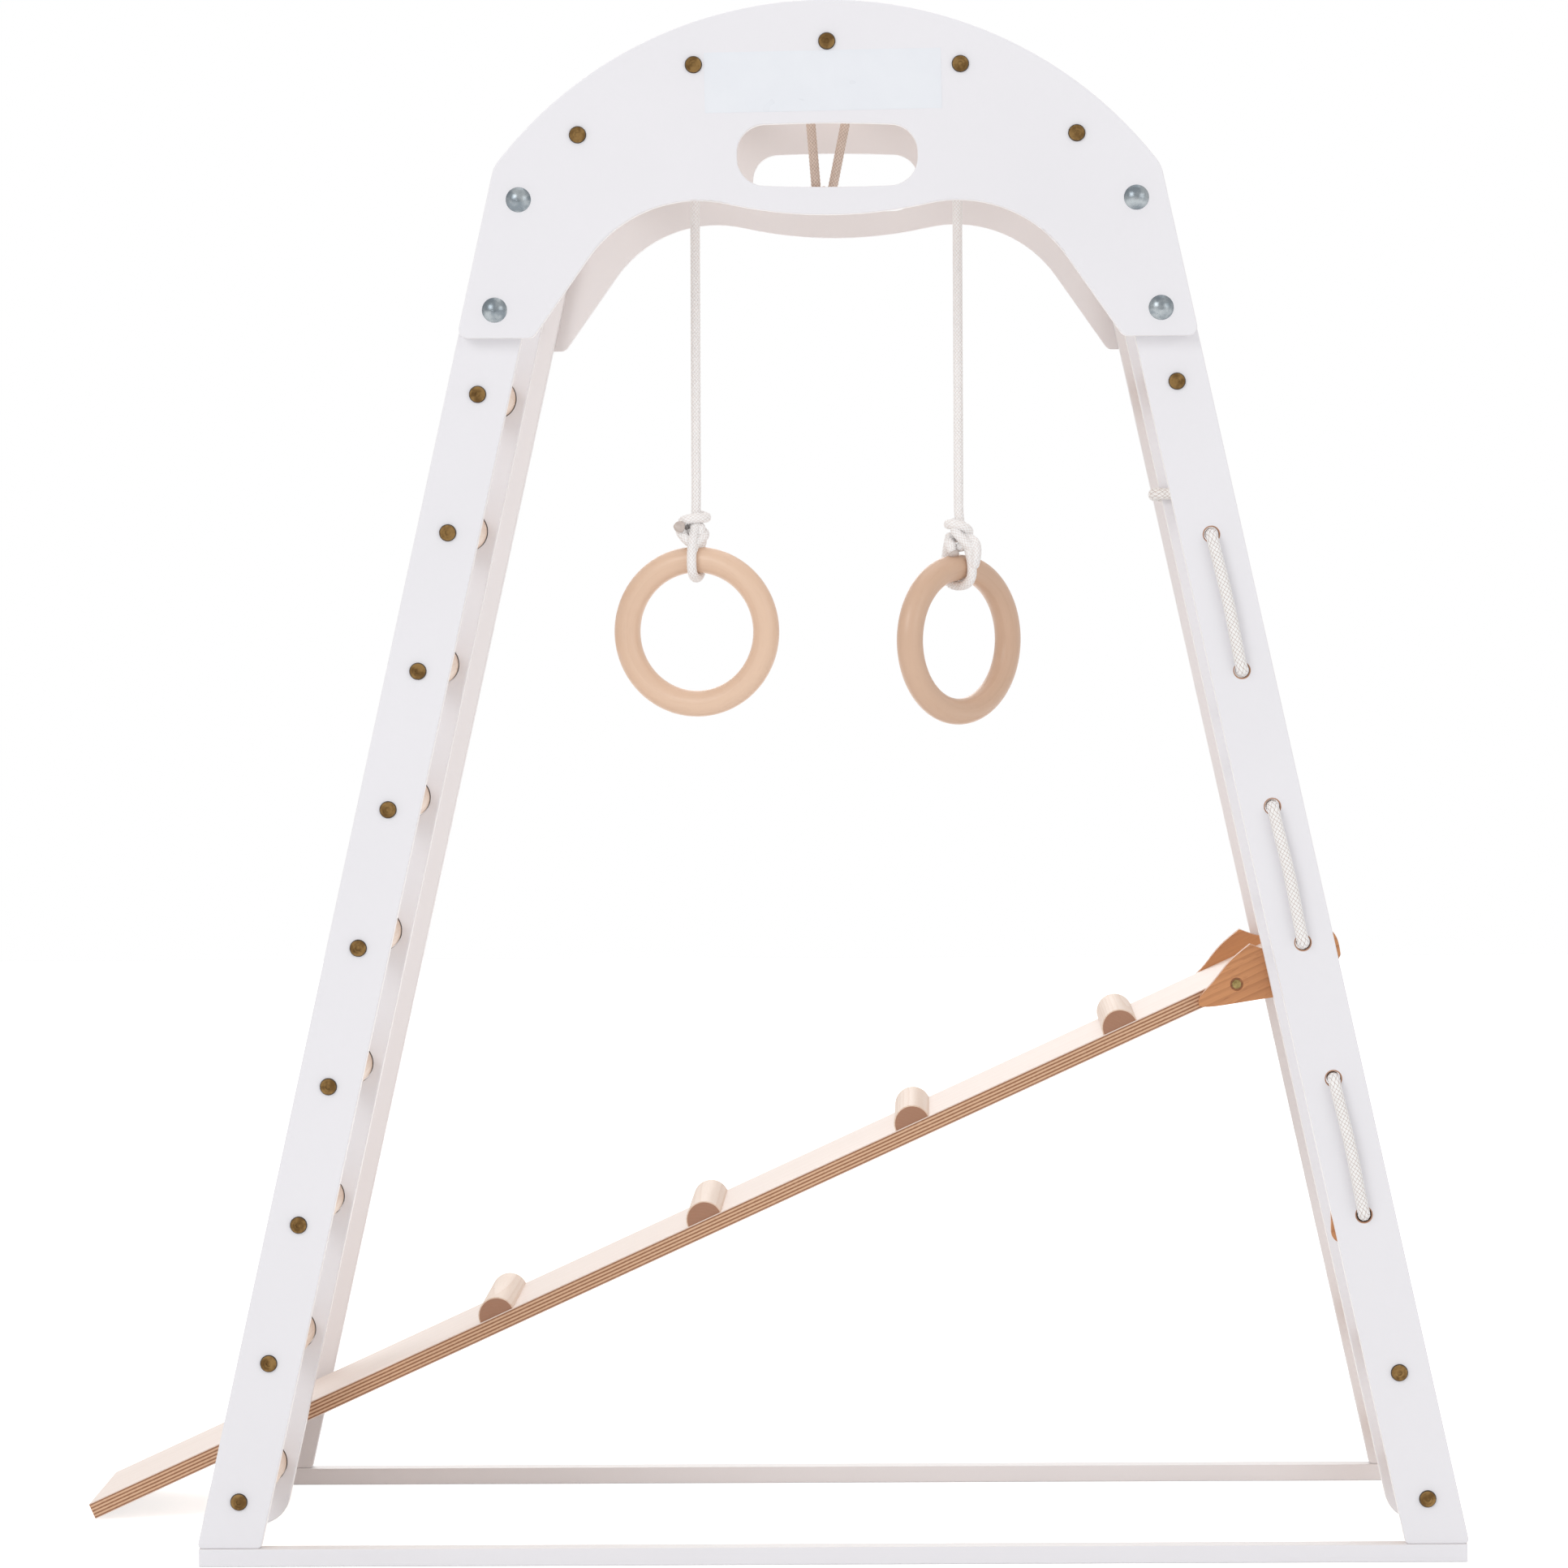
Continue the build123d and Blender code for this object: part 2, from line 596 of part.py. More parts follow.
def make_rope(name, points, radii, diameter):
    """Plain tube along straight runs joined by tangent arcs."""
    with BuildPart() as rope:
        with BuildLine() as route:
            FilletPolyline(*points, radius=radii)
        start = route.wires()[0]
        with BuildSketch(Plane(origin=start @ 0, z_dir=start % 0)):
            Circle(diameter / 2)
        sweep()
    length = start.length
    ratio = rope.part.volume / (pi * diameter**2 / 4 * length)
    listed = ", ".join(f"{radius:.1f}" for radius in radii)
    print(f"{name}: length {length:.1f}, volume ratio {ratio:.4f}, radii {listed}")
    return rope.part


# The side rope: once round the middle board, then laced down through the holes of both boards
WRAP_SIDE = HALF_POST_LEVEL + (SIDE_ROPE_DIAMETER / 2 + SIDE_ROPE_GAP) / cos(radians(POST_LEAN))
WRAP_FACE = MIDDLE_FACE + SIDE_ROPE_DIAMETER / 2 + SIDE_ROPE_GAP
ROPE_OUT = POST_FACE + SIDE_ROPE_DIAMETER / 2 + SIDE_ROPE_GAP
WRAP_END_HEIGHT = SIDE_ROPE_WRAP_HEIGHT - SIDE_ROPE_WRAP_DROP
TOGGLE_BACK = POST_INNER - TOGGLE_THICKNESS


def wrap_point(side, y, height):
    """Point beside the middle board: side -1 is its left edge and 1 its right edge."""
    return (centre_x(height) + side * WRAP_SIDE, y, height)


def at_hole(holes, number, y):
    x, height = holes[number]
    return (x, y, height)


def round_inside(number, middle):
    """Out of a front hole, over to the middle board, down its far face and back to the next hole."""
    leave = -POST_INNER + SIDE_ROPE_LEAD
    reach = -MIDDLE_FACE - SIDE_ROPE_LEAD
    return [
        at_hole(ROPE_HOLES, number, -ROPE_OUT),
        at_hole(ROPE_HOLES, number, leave),
        at_hole(MIDDLE_HOLES, middle, reach),
        at_hole(MIDDLE_HOLES, middle, WRAP_FACE),
        at_hole(MIDDLE_HOLES, middle + 1, WRAP_FACE),
        at_hole(MIDDLE_HOLES, middle + 1, reach),
        at_hole(ROPE_HOLES, number + 1, leave),
        at_hole(ROPE_HOLES, number + 1, -ROPE_OUT),
    ]


TIGHT = SIDE_ROPE_BEND
EASY = SIDE_ROPE_EASY_BEND
side_route = [
    wrap_point(0, -WRAP_FACE, SIDE_ROPE_WRAP_HEIGHT),
    wrap_point(-1, -WRAP_FACE, SIDE_ROPE_WRAP_HEIGHT),
    wrap_point(-1, WRAP_FACE, SIDE_ROPE_WRAP_HEIGHT - 0.1 * SIDE_ROPE_WRAP_DROP),
    wrap_point(1, WRAP_FACE, WRAP_END_HEIGHT + 0.1 * SIDE_ROPE_WRAP_DROP),
    wrap_point(1, -WRAP_FACE, WRAP_END_HEIGHT),
    wrap_point(0.2, -WRAP_FACE - SIDE_ROPE_GAP, WRAP_END_HEIGHT),
    at_hole(ROPE_HOLES, 0, -POST_INNER + SIDE_ROPE_LEAD),
    at_hole(ROPE_HOLES, 0, -ROPE_OUT),
    *round_inside(1, 0),
    *round_inside(3, 2),
    at_hole(ROPE_HOLES, 5, -ROPE_OUT),
    at_hole(ROPE_HOLES, 5, -TOGGLE_BACK + SIDE_ROPE_KNOT_DIAMETER / 2),
]
wrap_radii = [SIDE_ROPE_WRAP_BEND] * 4 + [TIGHT, EASY, TIGHT]
inside_radii = [TIGHT, EASY, EASY, TIGHT, TIGHT, EASY, EASY, TIGHT]
side_radii = wrap_radii + inside_radii + inside_radii + [TIGHT]
side_rope = make_rope("side_rope", side_route, side_radii, SIDE_ROPE_DIAMETER)
save(side_rope, "side_rope")

with BuildPart() as rope_toggle:
    with BuildSketch(front_plane(-POST_INNER)):
        with Locations((ROPE_HOLES[5][0], ROPE_HOLES[5][1] - TOGGLE_DROP)):
            RectangleRounded(TOGGLE_WIDTH, TOGGLE_HEIGHT, TOGGLE_ROUND)
        with Locations(ROPE_HOLES[5]):
            Circle(SIDE_ROPE_DIAMETER / 2 + SIDE_ROPE_GAP, mode=Mode.SUBTRACT)
    extrude(amount=-TOGGLE_THICKNESS)
    fillet(rope_toggle.faces().sort_by(Axis.Y)[-1].outer_wire().edges(), 2.5)
save(rope_toggle.part, "rope_toggle")


def knot_lump(centre, width, height):
    """Rough body of a knot: two tilted turns of rope drawn tight over each other."""
    turn = (width - height / 2) / 2
    thick = height / 4
    with Locations(Location(centre, (0, 0, 0))):
        Torus(turn, thick)
        Sphere(turn)
    with Locations(Location((centre[0], centre[1], centre[2] - height / 5), (28, 18, 0))):
        Torus(turn, thick)
    with Locations(Location((centre[0], centre[1], centre[2] + height / 5), (-24, -20, 0))):
        Torus(turn, thick)


def make_knot(name, centre, width, height, rope):
    with BuildPart() as knot:
        knot_lump(centre, width, height)
        add(rope, mode=Mode.SUBTRACT)
    solids = knot.part.solids().sort_by(SortBy.VOLUME)
    save(solids[-1], name)


END_KNOT_CENTRE = at_hole(ROPE_HOLES, 5, -TOGGLE_BACK + SIDE_ROPE_KNOT_DIAMETER / 2)

with BuildPart() as side_rope_end_knot:
    with Locations(END_KNOT_CENTRE):
        Sphere(SIDE_ROPE_KNOT_DIAMETER / 2)
    with BuildSketch(front_plane(-TOGGLE_BACK)):
        with Locations(ROPE_HOLES[5]):
            Circle(SIDE_ROPE_KNOT_DIAMETER)
    extrude(amount=SIDE_ROPE_KNOT_DIAMETER, mode=Mode.SUBTRACT)
    add(side_rope, mode=Mode.SUBTRACT)
save(side_rope_end_knot.part, "side_rope_end_knot")

WRAP_KNOT_LEVEL = (SIDE_ROPE_WRAP_HEIGHT + WRAP_END_HEIGHT) / 2
WRAP_KNOT_CENTRE = (centre_x(WRAP_KNOT_LEVEL), -WRAP_FACE - SIDE_ROPE_DIAMETER / 4, WRAP_KNOT_LEVEL)

with BuildPart() as side_rope_knot:
    knot_lump(WRAP_KNOT_CENTRE, WRAP_KNOT_WIDTH, WRAP_KNOT_HEIGHT)
    with BuildSketch(front_plane(-MIDDLE_FACE - KNOT_TO_BOARD)):
        with Locations((WRAP_KNOT_CENTRE[0], WRAP_KNOT_CENTRE[2])):
            Circle(WRAP_KNOT_WIDTH)
    extrude(amount=-WRAP_KNOT_WIDTH, mode=Mode.SUBTRACT)
    add(side_rope, mode=Mode.SUBTRACT)
save(side_rope_knot.part.solids().sort_by(SortBy.VOLUME)[-1], "side_rope_knot")

# Rings, each hung on one rope: a loop over the bar, a straight fall and a loop round the ring

ROPE_TO_BAR = BAR_RADIUS + RING_ROPE_DIAMETER / 2 + LOOSE_GAP
ROPE_TO_RING = RING_SECTION / 2 + RING_ROPE_DIAMETER / 2 + LOOSE_GAP
RING_MIDDLE_RADIUS = (RING_DIAMETER - RING_SECTION) / 2
TAIL_SHIFT = RING_ROPE_DIAMETER + 1.6


def ring_rope_route(bar, shift, ring_height, turn):
    """Route from the tail in the bar knot, over the bar, down, and round the ring's section.

    The fall hangs this shift beside the bar's middle."""
    bar_x, bar_z = bar
    x = bar_x + shift
    y = RING_ROPE_Y
    top = ring_height + RING_MIDDLE_RADIUS
    normal = (sin(radians(turn)), -cos(radians(turn)))
    knot_z = bar_z - BAR_KNOT_DROP
    ring_knot_z = top + RING_KNOT_RISE

    def off(reach, dz):
        return (x + normal[0] * reach, y + normal[1] * reach, top + dz)

    return [
        (x + TAIL_SHIFT, y, knot_z),
        (bar_x + ROPE_TO_BAR, y, bar_z - 0.6 * BAR_RADIUS),
        (bar_x + ROPE_TO_BAR, y, bar_z + ROPE_TO_BAR),
        (bar_x - ROPE_TO_BAR, y, bar_z + ROPE_TO_BAR),
        (bar_x - ROPE_TO_BAR, y, bar_z - 0.6 * BAR_RADIUS),
        (x, y, knot_z),
        (x, y, ring_knot_z + RING_ROPE_DIAMETER / 2),
        off(ROPE_TO_RING, 0.5 * RING_SECTION),
        off(ROPE_TO_RING, -ROPE_TO_RING),
        off(-ROPE_TO_RING, -ROPE_TO_RING),
        off(-ROPE_TO_RING, 0.5 * RING_SECTION),
        off(-TAIL_SHIFT, ring_knot_z - top),
    ]


def ring_rope_radii():
    """One radius for each corner of the route. The loops are as round as the bar and the ring."""
    over_bar = 0.995 * ROPE_TO_BAR
    round_ring = 0.995 * ROPE_TO_RING
    knotted = RING_ROPE_DIAMETER
    return [knotted, over_bar, over_bar, knotted, knotted, knotted, knotted, round_ring, round_ring, knotted]


def make_ring_set(name, bar, shift, ring_height, turn):
    route = ring_rope_route(bar, shift, ring_height, turn)
    x = bar[0] + shift
    rope = make_rope(f"{name}_ring_rope", route, ring_rope_radii(), RING_ROPE_DIAMETER)
    save(rope, f"{name}_ring_rope")
    bar_knot = (x + TAIL_SHIFT / 3, RING_ROPE_Y, bar[1] - BAR_KNOT_DROP)
    make_knot(f"{name}_bar_knot", bar_knot, BAR_KNOT_WIDTH, BAR_KNOT_HEIGHT, rope)
    top = ring_height + RING_MIDDLE_RADIUS
    ring_knot = (x, RING_ROPE_Y, top + RING_KNOT_RISE)
    make_knot(f"{name}_ring_knot", ring_knot, RING_KNOT_WIDTH, RING_KNOT_HEIGHT, rope)
    tangent = (cos(radians(turn)), sin(radians(turn)), 0)
    normal = (sin(radians(turn)), -cos(radians(turn)), 0)
    with BuildPart() as ring:
        with Locations(Plane(origin=(x, RING_ROPE_Y, ring_height), x_dir=tangent, z_dir=normal)):
            Torus(RING_MIDDLE_RADIUS, RING_SECTION / 2)
    save(ring.part, f"{name}_ring")


make_ring_set("left", ARCH_BAR_PLACES[1], LEFT_ROPE_SHIFT, LEFT_RING_HEIGHT, LEFT_RING_TURN)
make_ring_set("right", ARCH_BAR_PLACES[3], RIGHT_ROPE_SHIFT, RIGHT_RING_HEIGHT, RIGHT_RING_TURN)

# Rope sling, an endless loop over the middle bar with its knot at the foot

SLING_BAR = ARCH_BAR_PLACES[2]
SLING_TO_BAR = BAR_RADIUS + SLING_DIAMETER / 2 + LOOSE_GAP
SLING_DROP = SLING_BAR[1] - SLING_FOOT_HEIGHT
SLING_SLANT = asin((SLING_TO_BAR - SLING_FOOT_RADIUS) / SLING_DROP)


def sling_side(centre_z, radius, side):
    """Where the straight strand on this side touches the round at one end."""
    return (side * radius * cos(SLING_SLANT), centre_z - radius * sin(SLING_SLANT))


with BuildPart() as centre_rope_loop:
    with BuildLine(front_plane(SLING_Y)) as sling_route:
        high_right = sling_side(SLING_BAR[1], SLING_TO_BAR, 1)
        high_left = sling_side(SLING_BAR[1], SLING_TO_BAR, -1)
        low_right = sling_side(SLING_FOOT_HEIGHT, SLING_FOOT_RADIUS, 1)
        low_left = sling_side(SLING_FOOT_HEIGHT, SLING_FOOT_RADIUS, -1)
        ThreePointArc(high_left, (0, SLING_BAR[1] + SLING_TO_BAR), high_right)
        Line(high_right, low_right)
        ThreePointArc(low_right, (0, SLING_FOOT_HEIGHT - SLING_FOOT_RADIUS), low_left)
        Line(low_left, high_left)
    with BuildSketch(Plane(origin=(0, SLING_Y, SLING_BAR[1] + SLING_TO_BAR), z_dir=(1, 0, 0))):
        Circle(SLING_DIAMETER / 2)
    sweep(path=sling_route.wires()[0])
save(centre_rope_loop.part, "centre_rope_loop")
sling_length = sling_route.wires()[0].length
sling_ratio = centre_rope_loop.part.volume / (pi * SLING_DIAMETER**2 / 4 * sling_length)
print(f"centre_rope_loop: length {sling_length:.1f}, volume ratio {sling_ratio:.4f}")

sling_knot = (SLING_KNOT_X, SLING_Y, SLING_FOOT_HEIGHT)
make_knot("centre_rope_knot", sling_knot, SLING_KNOT_WIDTH, SLING_KNOT_HEIGHT, centre_rope_loop.part)
for name in ("centre_rope_loop", "centre_rope_knot"):
    save(PIECES[name].rotate(Axis((0, 0, SLING_BAR[1]), (0, 1, 0)), SLING_LEAN), name)

# Ramp, its ribs and hooks, laid out along its slope from the hook bar

RAMP_UNDER = BAR_RADIUS + RAMP_REST_GAP
RAMP_REACH = RAMP_LENGTH - RAMP_PAST_BAR
RAMP_SLOPE = atan2(RAMP_UNDER, RAMP_REACH) + asin(
    (HOOK_BAR_HEIGHT - RAMP_REST_GAP) / sqrt(RAMP_REACH**2 + RAMP_UNDER**2)
)
RAMP_TOP = RAMP_UNDER + RAMP_THICKNESS
HOOK_NEAR_Y = MIDDLE_FACE + HOOK_SIDE_GAP
HOOK_FAR_Y = POST_INNER - HOOK_SIDE_GAP
RAMP_NEAR_Y = HOOK_NEAR_Y + HOOK_THICKNESS
RAMP_FAR_Y = HOOK_FAR_Y - HOOK_THICKNESS
RAMP_WIDTH = RAMP_FAR_Y - RAMP_NEAR_Y


def ramp_side_plane(y):
    """Side view of the ramp: local x runs down the slope, local y stands on it."""
    down = (-cos(RAMP_SLOPE), 0, -sin(RAMP_SLOPE))
    return Plane(origin=(HOOK_BAR[0], y, HOOK_BAR[1]), x_dir=down, z_dir=(0, 1, 0))


def ramp_face_plane(height):
    """Plane parallel to the ramp board: local x runs down the slope, local z stands on it."""
    down = (-cos(RAMP_SLOPE), 0, -sin(RAMP_SLOPE))
    up = (-sin(RAMP_SLOPE), 0, cos(RAMP_SLOPE))
    base = Vector(HOOK_BAR[0], 0, HOOK_BAR[1]) + Vector(*up) * height
    return Plane(origin=base, x_dir=down, z_dir=up)


RIB_ALONG = [RIB_FIRST + number * RIB_PITCH for number in range(RIB_COUNT)]
RAMP_MIDDLE_Y = (RAMP_NEAR_Y + RAMP_FAR_Y) / 2
RIB_SCREWS = [(along, -RAMP_MIDDLE_Y + shift * RIB_SCREW_SPREAD) for along in RIB_ALONG for shift in (-0.5, 0.5)]
HOOK_SCREW_PLACE = (HOOK_SCREW_ALONG, RAMP_UNDER + RAMP_THICKNESS / 2)
HOOK_SCREW_DEPTH = HOOK_SCREW_LENGTH - HOOK_THICKNESS + 3.0

with BuildPart() as ramp_board:
    with BuildSketch(ramp_side_plane(RAMP_NEAR_Y)):
        with Locations((RAMP_LENGTH / 2 - RAMP_PAST_BAR, RAMP_UNDER + RAMP_THICKNESS / 2)):
            Rectangle(RAMP_LENGTH, RAMP_THICKNESS)
    extrude(amount=RAMP_WIDTH)
    fillet(ramp_board.edges().filter_by(Axis.Y), RAMP_EDGE_ROUND)
    with BuildSketch(ramp_face_plane(RAMP_UNDER)):
        with Locations(*RIB_SCREWS):
            Circle(HOOK_SCREW_SHANK / 2 + FIT)
    extrude(amount=RAMP_THICKNESS, mode=Mode.SUBTRACT)
    for y, into in ((RAMP_NEAR_Y, 1), (RAMP_FAR_Y, -1)):
        with BuildSketch(ramp_side_plane(y)):
            with Locations(HOOK_SCREW_PLACE):
                Circle(HOOK_SCREW_SHANK / 2 + FIT)
        extrude(amount=into * HOOK_SCREW_DEPTH, mode=Mode.SUBTRACT)
save(ramp_board.part, "ramp_board")

for number, along in enumerate(RIB_ALONG, start=1):
    with BuildPart() as rib:
        with BuildSketch(ramp_side_plane(RAMP_NEAR_Y + RIB_INSET)):
            with Locations((along, RAMP_TOP)):
                Circle(RIB_DIAMETER / 2)
            with Locations((along, RAMP_TOP - RIB_DIAMETER / 2)):
                Rectangle(RIB_DIAMETER, RIB_DIAMETER, mode=Mode.SUBTRACT)
        extrude(amount=RAMP_WIDTH - 2 * RIB_INSET)
        chamfer(rib.edges().filter_by(GeomType.CIRCLE), RIB_END_CHAMFER)
        with BuildSketch(ramp_face_plane(RAMP_TOP)):
            with Locations(*[place for place in RIB_SCREWS if abs(place[0] - along) < 1]):
                Circle(HOOK_SCREW_SHANK / 2 + FIT)
        extrude(amount=RIB_SCREW_LENGTH - RAMP_THICKNESS, mode=Mode.SUBTRACT)
    save(rib.part, f"ramp_rib_{number}")

with BuildPart() as rib_screws:
    with BuildSketch(ramp_face_plane(RAMP_UNDER)):
        with Locations(*RIB_SCREWS):
            Circle(HOOK_SCREW_SHANK / 2)
    extrude(amount=RIB_SCREW_LENGTH)
save(rib_screws.part, "rib_screws")


def hook_outline():
    """Cheek that tapers to a point on the ramp and drops over the bar behind it."""
    notch = BAR_RADIUS + HOOK_NOTCH_GAP
    with BuildSketch() as outline:
        with BuildLine():
            Spline((91, 22), (76, 34), (50, 46.5), (26, 53.5), tangents=((-0.2, 1), (-1, 0.25)))
            Spline((26, 53.5), (14, 42), (-4, 35), (-22, 37), (-36, 42), tangents=((-0.8, -0.8), (-1, 0.2)))
            Spline((-36, 42), (-45, 36), (-47.5, 25), (-45, 13), (-36, 4), tangents=((-1, 0.1), (0.9, -0.7)))
            Line((-36, 4), (-notch, -3))
            Line((-notch, -3), (-notch, 0))
            ThreePointArc((-notch, 0), (0, notch), (notch, 0))
            Line((notch, 0), (notch, -1))
            Spline((notch, -1), (31, 2.4), (72, 14), (91, 22), tangents=((1, 0.2), (0.9, 0.7)))
        make_face()
    return outline.sketch


def make_hook(name, y, screw_face, into):
    with BuildPart() as hook:
        with BuildSketch(ramp_side_plane(y)):
            add(hook_outline())
        extrude(amount=HOOK_THICKNESS)
        with BuildSketch(ramp_side_plane(screw_face)):
            with Locations(HOOK_SCREW_PLACE):
                Circle(HOOK_SCREW_SINK / 2)
        extrude(amount=into * 3.0, mode=Mode.SUBTRACT)
        with BuildSketch(ramp_side_plane(screw_face)):
            with Locations(HOOK_SCREW_PLACE):
                Circle(HOOK_SCREW_SHANK / 2 + FIT)
        extrude(amount=into * HOOK_THICKNESS, mode=Mode.SUBTRACT)
    save(hook.part, name)


make_hook("near_hook", HOOK_NEAR_Y, HOOK_NEAR_Y, 1)
make_hook("far_hook", RAMP_FAR_Y, HOOK_FAR_Y, -1)

with BuildPart() as hook_screws:
    for face, into in ((HOOK_NEAR_Y, 1), (HOOK_FAR_Y, -1)):
        with BuildSketch(ramp_side_plane(face + into * 1.0)):
            with Locations(HOOK_SCREW_PLACE):
                Circle(HOOK_SCREW_HEAD / 2)
        extrude(amount=into * 2.0)
        with BuildSketch(ramp_side_plane(face + into * 3.0)):
            with Locations(HOOK_SCREW_PLACE):
                Circle(HOOK_SCREW_SHANK / 2)
        extrude(amount=into * (HOOK_SCREW_LENGTH - 3.0))
save(hook_screws.part, "hook_screws")

# Write the pieces, with the origin under the middle of the whole part

boxes = [piece.bounding_box() for piece in PIECES.values()]
left_end = min(box.min.X for box in boxes)
right_end = max(box.max.X for box in boxes)
middle_x = (left_end + right_end) / 2
for name, piece in PIECES.items():
    placed = piece.moved(Location((-middle_x, 0, 0)))
    placed.label = name
    export_step(placed, f"parts/{name}.step")

slope = degrees(RAMP_SLOPE)
print(f"ramp slope {slope:.2f}, hook bar at {HOOK_BAR[0]:.1f} {HOOK_BAR[1]:.1f}")
print(f"ends at {left_end:.3f} and {right_end:.3f}, middle of the frame at X = {-middle_x:.3f}")
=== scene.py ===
"""Indoor climbing frame: painted arches and posts, beech bars, braided ropes, rings and a ribbed ramp."""
from math import asin, atan2, cos, pi, radians, sin, sqrt, tan

import bpy
import numpy as np
from mathutils import Matrix, Vector


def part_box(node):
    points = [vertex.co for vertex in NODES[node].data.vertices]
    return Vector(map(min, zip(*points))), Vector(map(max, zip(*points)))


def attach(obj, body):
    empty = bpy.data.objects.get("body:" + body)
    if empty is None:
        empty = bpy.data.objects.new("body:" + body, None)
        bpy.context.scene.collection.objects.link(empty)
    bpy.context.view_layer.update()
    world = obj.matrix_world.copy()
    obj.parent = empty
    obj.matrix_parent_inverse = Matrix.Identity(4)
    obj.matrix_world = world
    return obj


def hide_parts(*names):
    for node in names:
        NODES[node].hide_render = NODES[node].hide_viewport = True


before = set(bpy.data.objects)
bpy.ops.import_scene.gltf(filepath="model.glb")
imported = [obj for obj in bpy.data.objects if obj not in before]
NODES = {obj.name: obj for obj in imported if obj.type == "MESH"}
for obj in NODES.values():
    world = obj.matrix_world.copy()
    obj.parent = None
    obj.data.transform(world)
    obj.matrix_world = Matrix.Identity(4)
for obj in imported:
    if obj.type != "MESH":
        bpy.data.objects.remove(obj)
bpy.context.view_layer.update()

MM = 0.001

# Places that the ropes, the camera and the patterns are set out from, in millimetres

MIDDLE_X = (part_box("front_rail")[0].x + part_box("front_rail")[1].x) / 2 / MM
POST_LEAN = 12.4
LEAN = tan(radians(POST_LEAN))
POST_FOOT_CENTRE = 522.0
POST_WIDTH = 54.0
RAIL_HEIGHT = 15.0
POST_FACE = 302.0
POST_INNER = 284.0
MIDDLE_FACE = 9.0
BAR_RADIUS = 18.0
LOOSE_GAP = 0.4
LAST_HOLE = 299.6
HOLE_PITCH = 120.4
HOLE_COUNT = 6
FIRST_RUNG = 55.5
RUNG_PITCH = 122.3
RUNG_COUNT = 9


def at(x, y, z):
    """Point in metres from millimetres measured from the middle of the frame."""
    return ((x + MIDDLE_X) * MM, y * MM, z * MM)


def centre_x(height):
    """Distance of a post's centre line from the middle of the frame at this height."""
    return POST_FOOT_CENTRE - (height - RAIL_HEIGHT) * LEAN


# Node helpers


class Tree:
    """Short calls for adding and joining shader nodes."""

    def __init__(self, tree):
        self.tree = tree

    def add(self, kind, settings=None, **inputs):
        node = self.tree.nodes.new(kind)
        for name, value in (settings or {}).items():
            setattr(node, name, value)
        for name, value in inputs.items():
            self.feed(node, name.replace("_", " "), value)
        return node

    def feed(self, node, name, value):
        socket = node.inputs[name]
        if isinstance(value, bpy.types.NodeSocket):
            self.tree.links.new(value, socket)
        else:
            socket.default_value = value

    def link(self, value, socket):
        self.tree.links.new(value, socket)

    def math(self, operation, *values, clamp=False):
        node = self.tree.nodes.new("ShaderNodeMath")
        node.operation = operation
        node.use_clamp = clamp
        for index, value in enumerate(values):
            self.feed(node, index, value)
        return node.outputs[0]

    def mix(self, factor, first, second, blend="MIX"):
        node = self.tree.nodes.new("ShaderNodeMix")
        node.data_type = "RGBA"
        node.blend_type = blend
        self.feed(node, 0, factor)
        self.feed(node, 6, first)
        self.feed(node, 7, second)
        return node.outputs[2]

    def stretch(self, vector, scale, rotation=(0, 0, 0), location=(0, 0, 0)):
        node = self.add("ShaderNodeMapping", Vector=vector)
        node.inputs["Scale"].default_value = scale
        node.inputs["Rotation"].default_value = rotation
        node.inputs["Location"].default_value = location
        return node.outputs[0]

    def noise(self, vector, scale, detail=2.0, roughness=0.5):
        node = self.add("ShaderNodeTexNoise", Vector=vector, Scale=scale, Detail=detail, Roughness=roughness)
        return node.outputs["Fac"]

    def ease(self, value, low, high):
        """0 below low, 1 above high, smooth between."""
        node = self.add("ShaderNodeMapRange", {"interpolation_type": "SMOOTHSTEP"}, Value=value)
        node.inputs["From Min"].default_value = low
        node.inputs["From Max"].default_value = high
        return node.outputs[0]


def group(name, inputs, outputs):
    """New node group. inputs and outputs are (socket name, kind, value) rows."""
    tree = bpy.data.node_groups.new(name, "ShaderNodeTree")
    kinds = {"float": "NodeSocketFloat", "color": "NodeSocketColor", "vector": "NodeSocketVector"}
    for label, kind, value in inputs:
        socket = tree.interface.new_socket(label, in_out="INPUT", socket_type=kinds[kind])
        if value is not None:
            socket.default_value = value
    for label, kind in outputs:
        tree.interface.new_socket(label, in_out="OUTPUT", socket_type=kinds[kind])
    source = tree.nodes.new("NodeGroupInput")
    target = tree.nodes.new("NodeGroupOutput")
    return Tree(tree), source.outputs, target.inputs


def rgb(red, green, blue):
    """Linear colour from the 0 to 255 numbers of a screen colour."""
    def linear(value):
        share = value / 255
        return share / 12.92 if share <= 0.04045 else ((share + 0.055) / 1.055) ** 2.4

    return (linear(red), linear(green), linear(blue), 1.0)


# Wood: slightly wavy growth rings round the fibre axis, fine fibres and short flecks along Z

wood, given, out = group(
    "wood grain",
    [
        ("Place", "vector", None),
        ("Light", "color", (0.7, 0.5, 0.35, 1)),
        ("Dark", "color", (0.5, 0.33, 0.2, 1)),
        ("Rings", "float", 90.0),
        ("Ring Strength", "float", 0.5),
        ("Fibre Strength", "float", 0.4),
        ("Fleck Strength", "float", 0.3),
    ],
    [("Color", "color"), ("Height", "float"), ("Roughness", "float")],
)
sway = wood.add("ShaderNodeTexNoise", Vector=wood.stretch(given["Place"], (6, 6, 1.2)), Scale=1.0, Detail=2.0)
swayed = wood.add("ShaderNodeVectorMath", {"operation": "MULTIPLY_ADD"})
wood.feed(swayed, 0, sway.outputs["Color"])
swayed.inputs[1].default_value = (0.02, 0.02, 0.0)
wood.feed(swayed, 2, given["Place"])
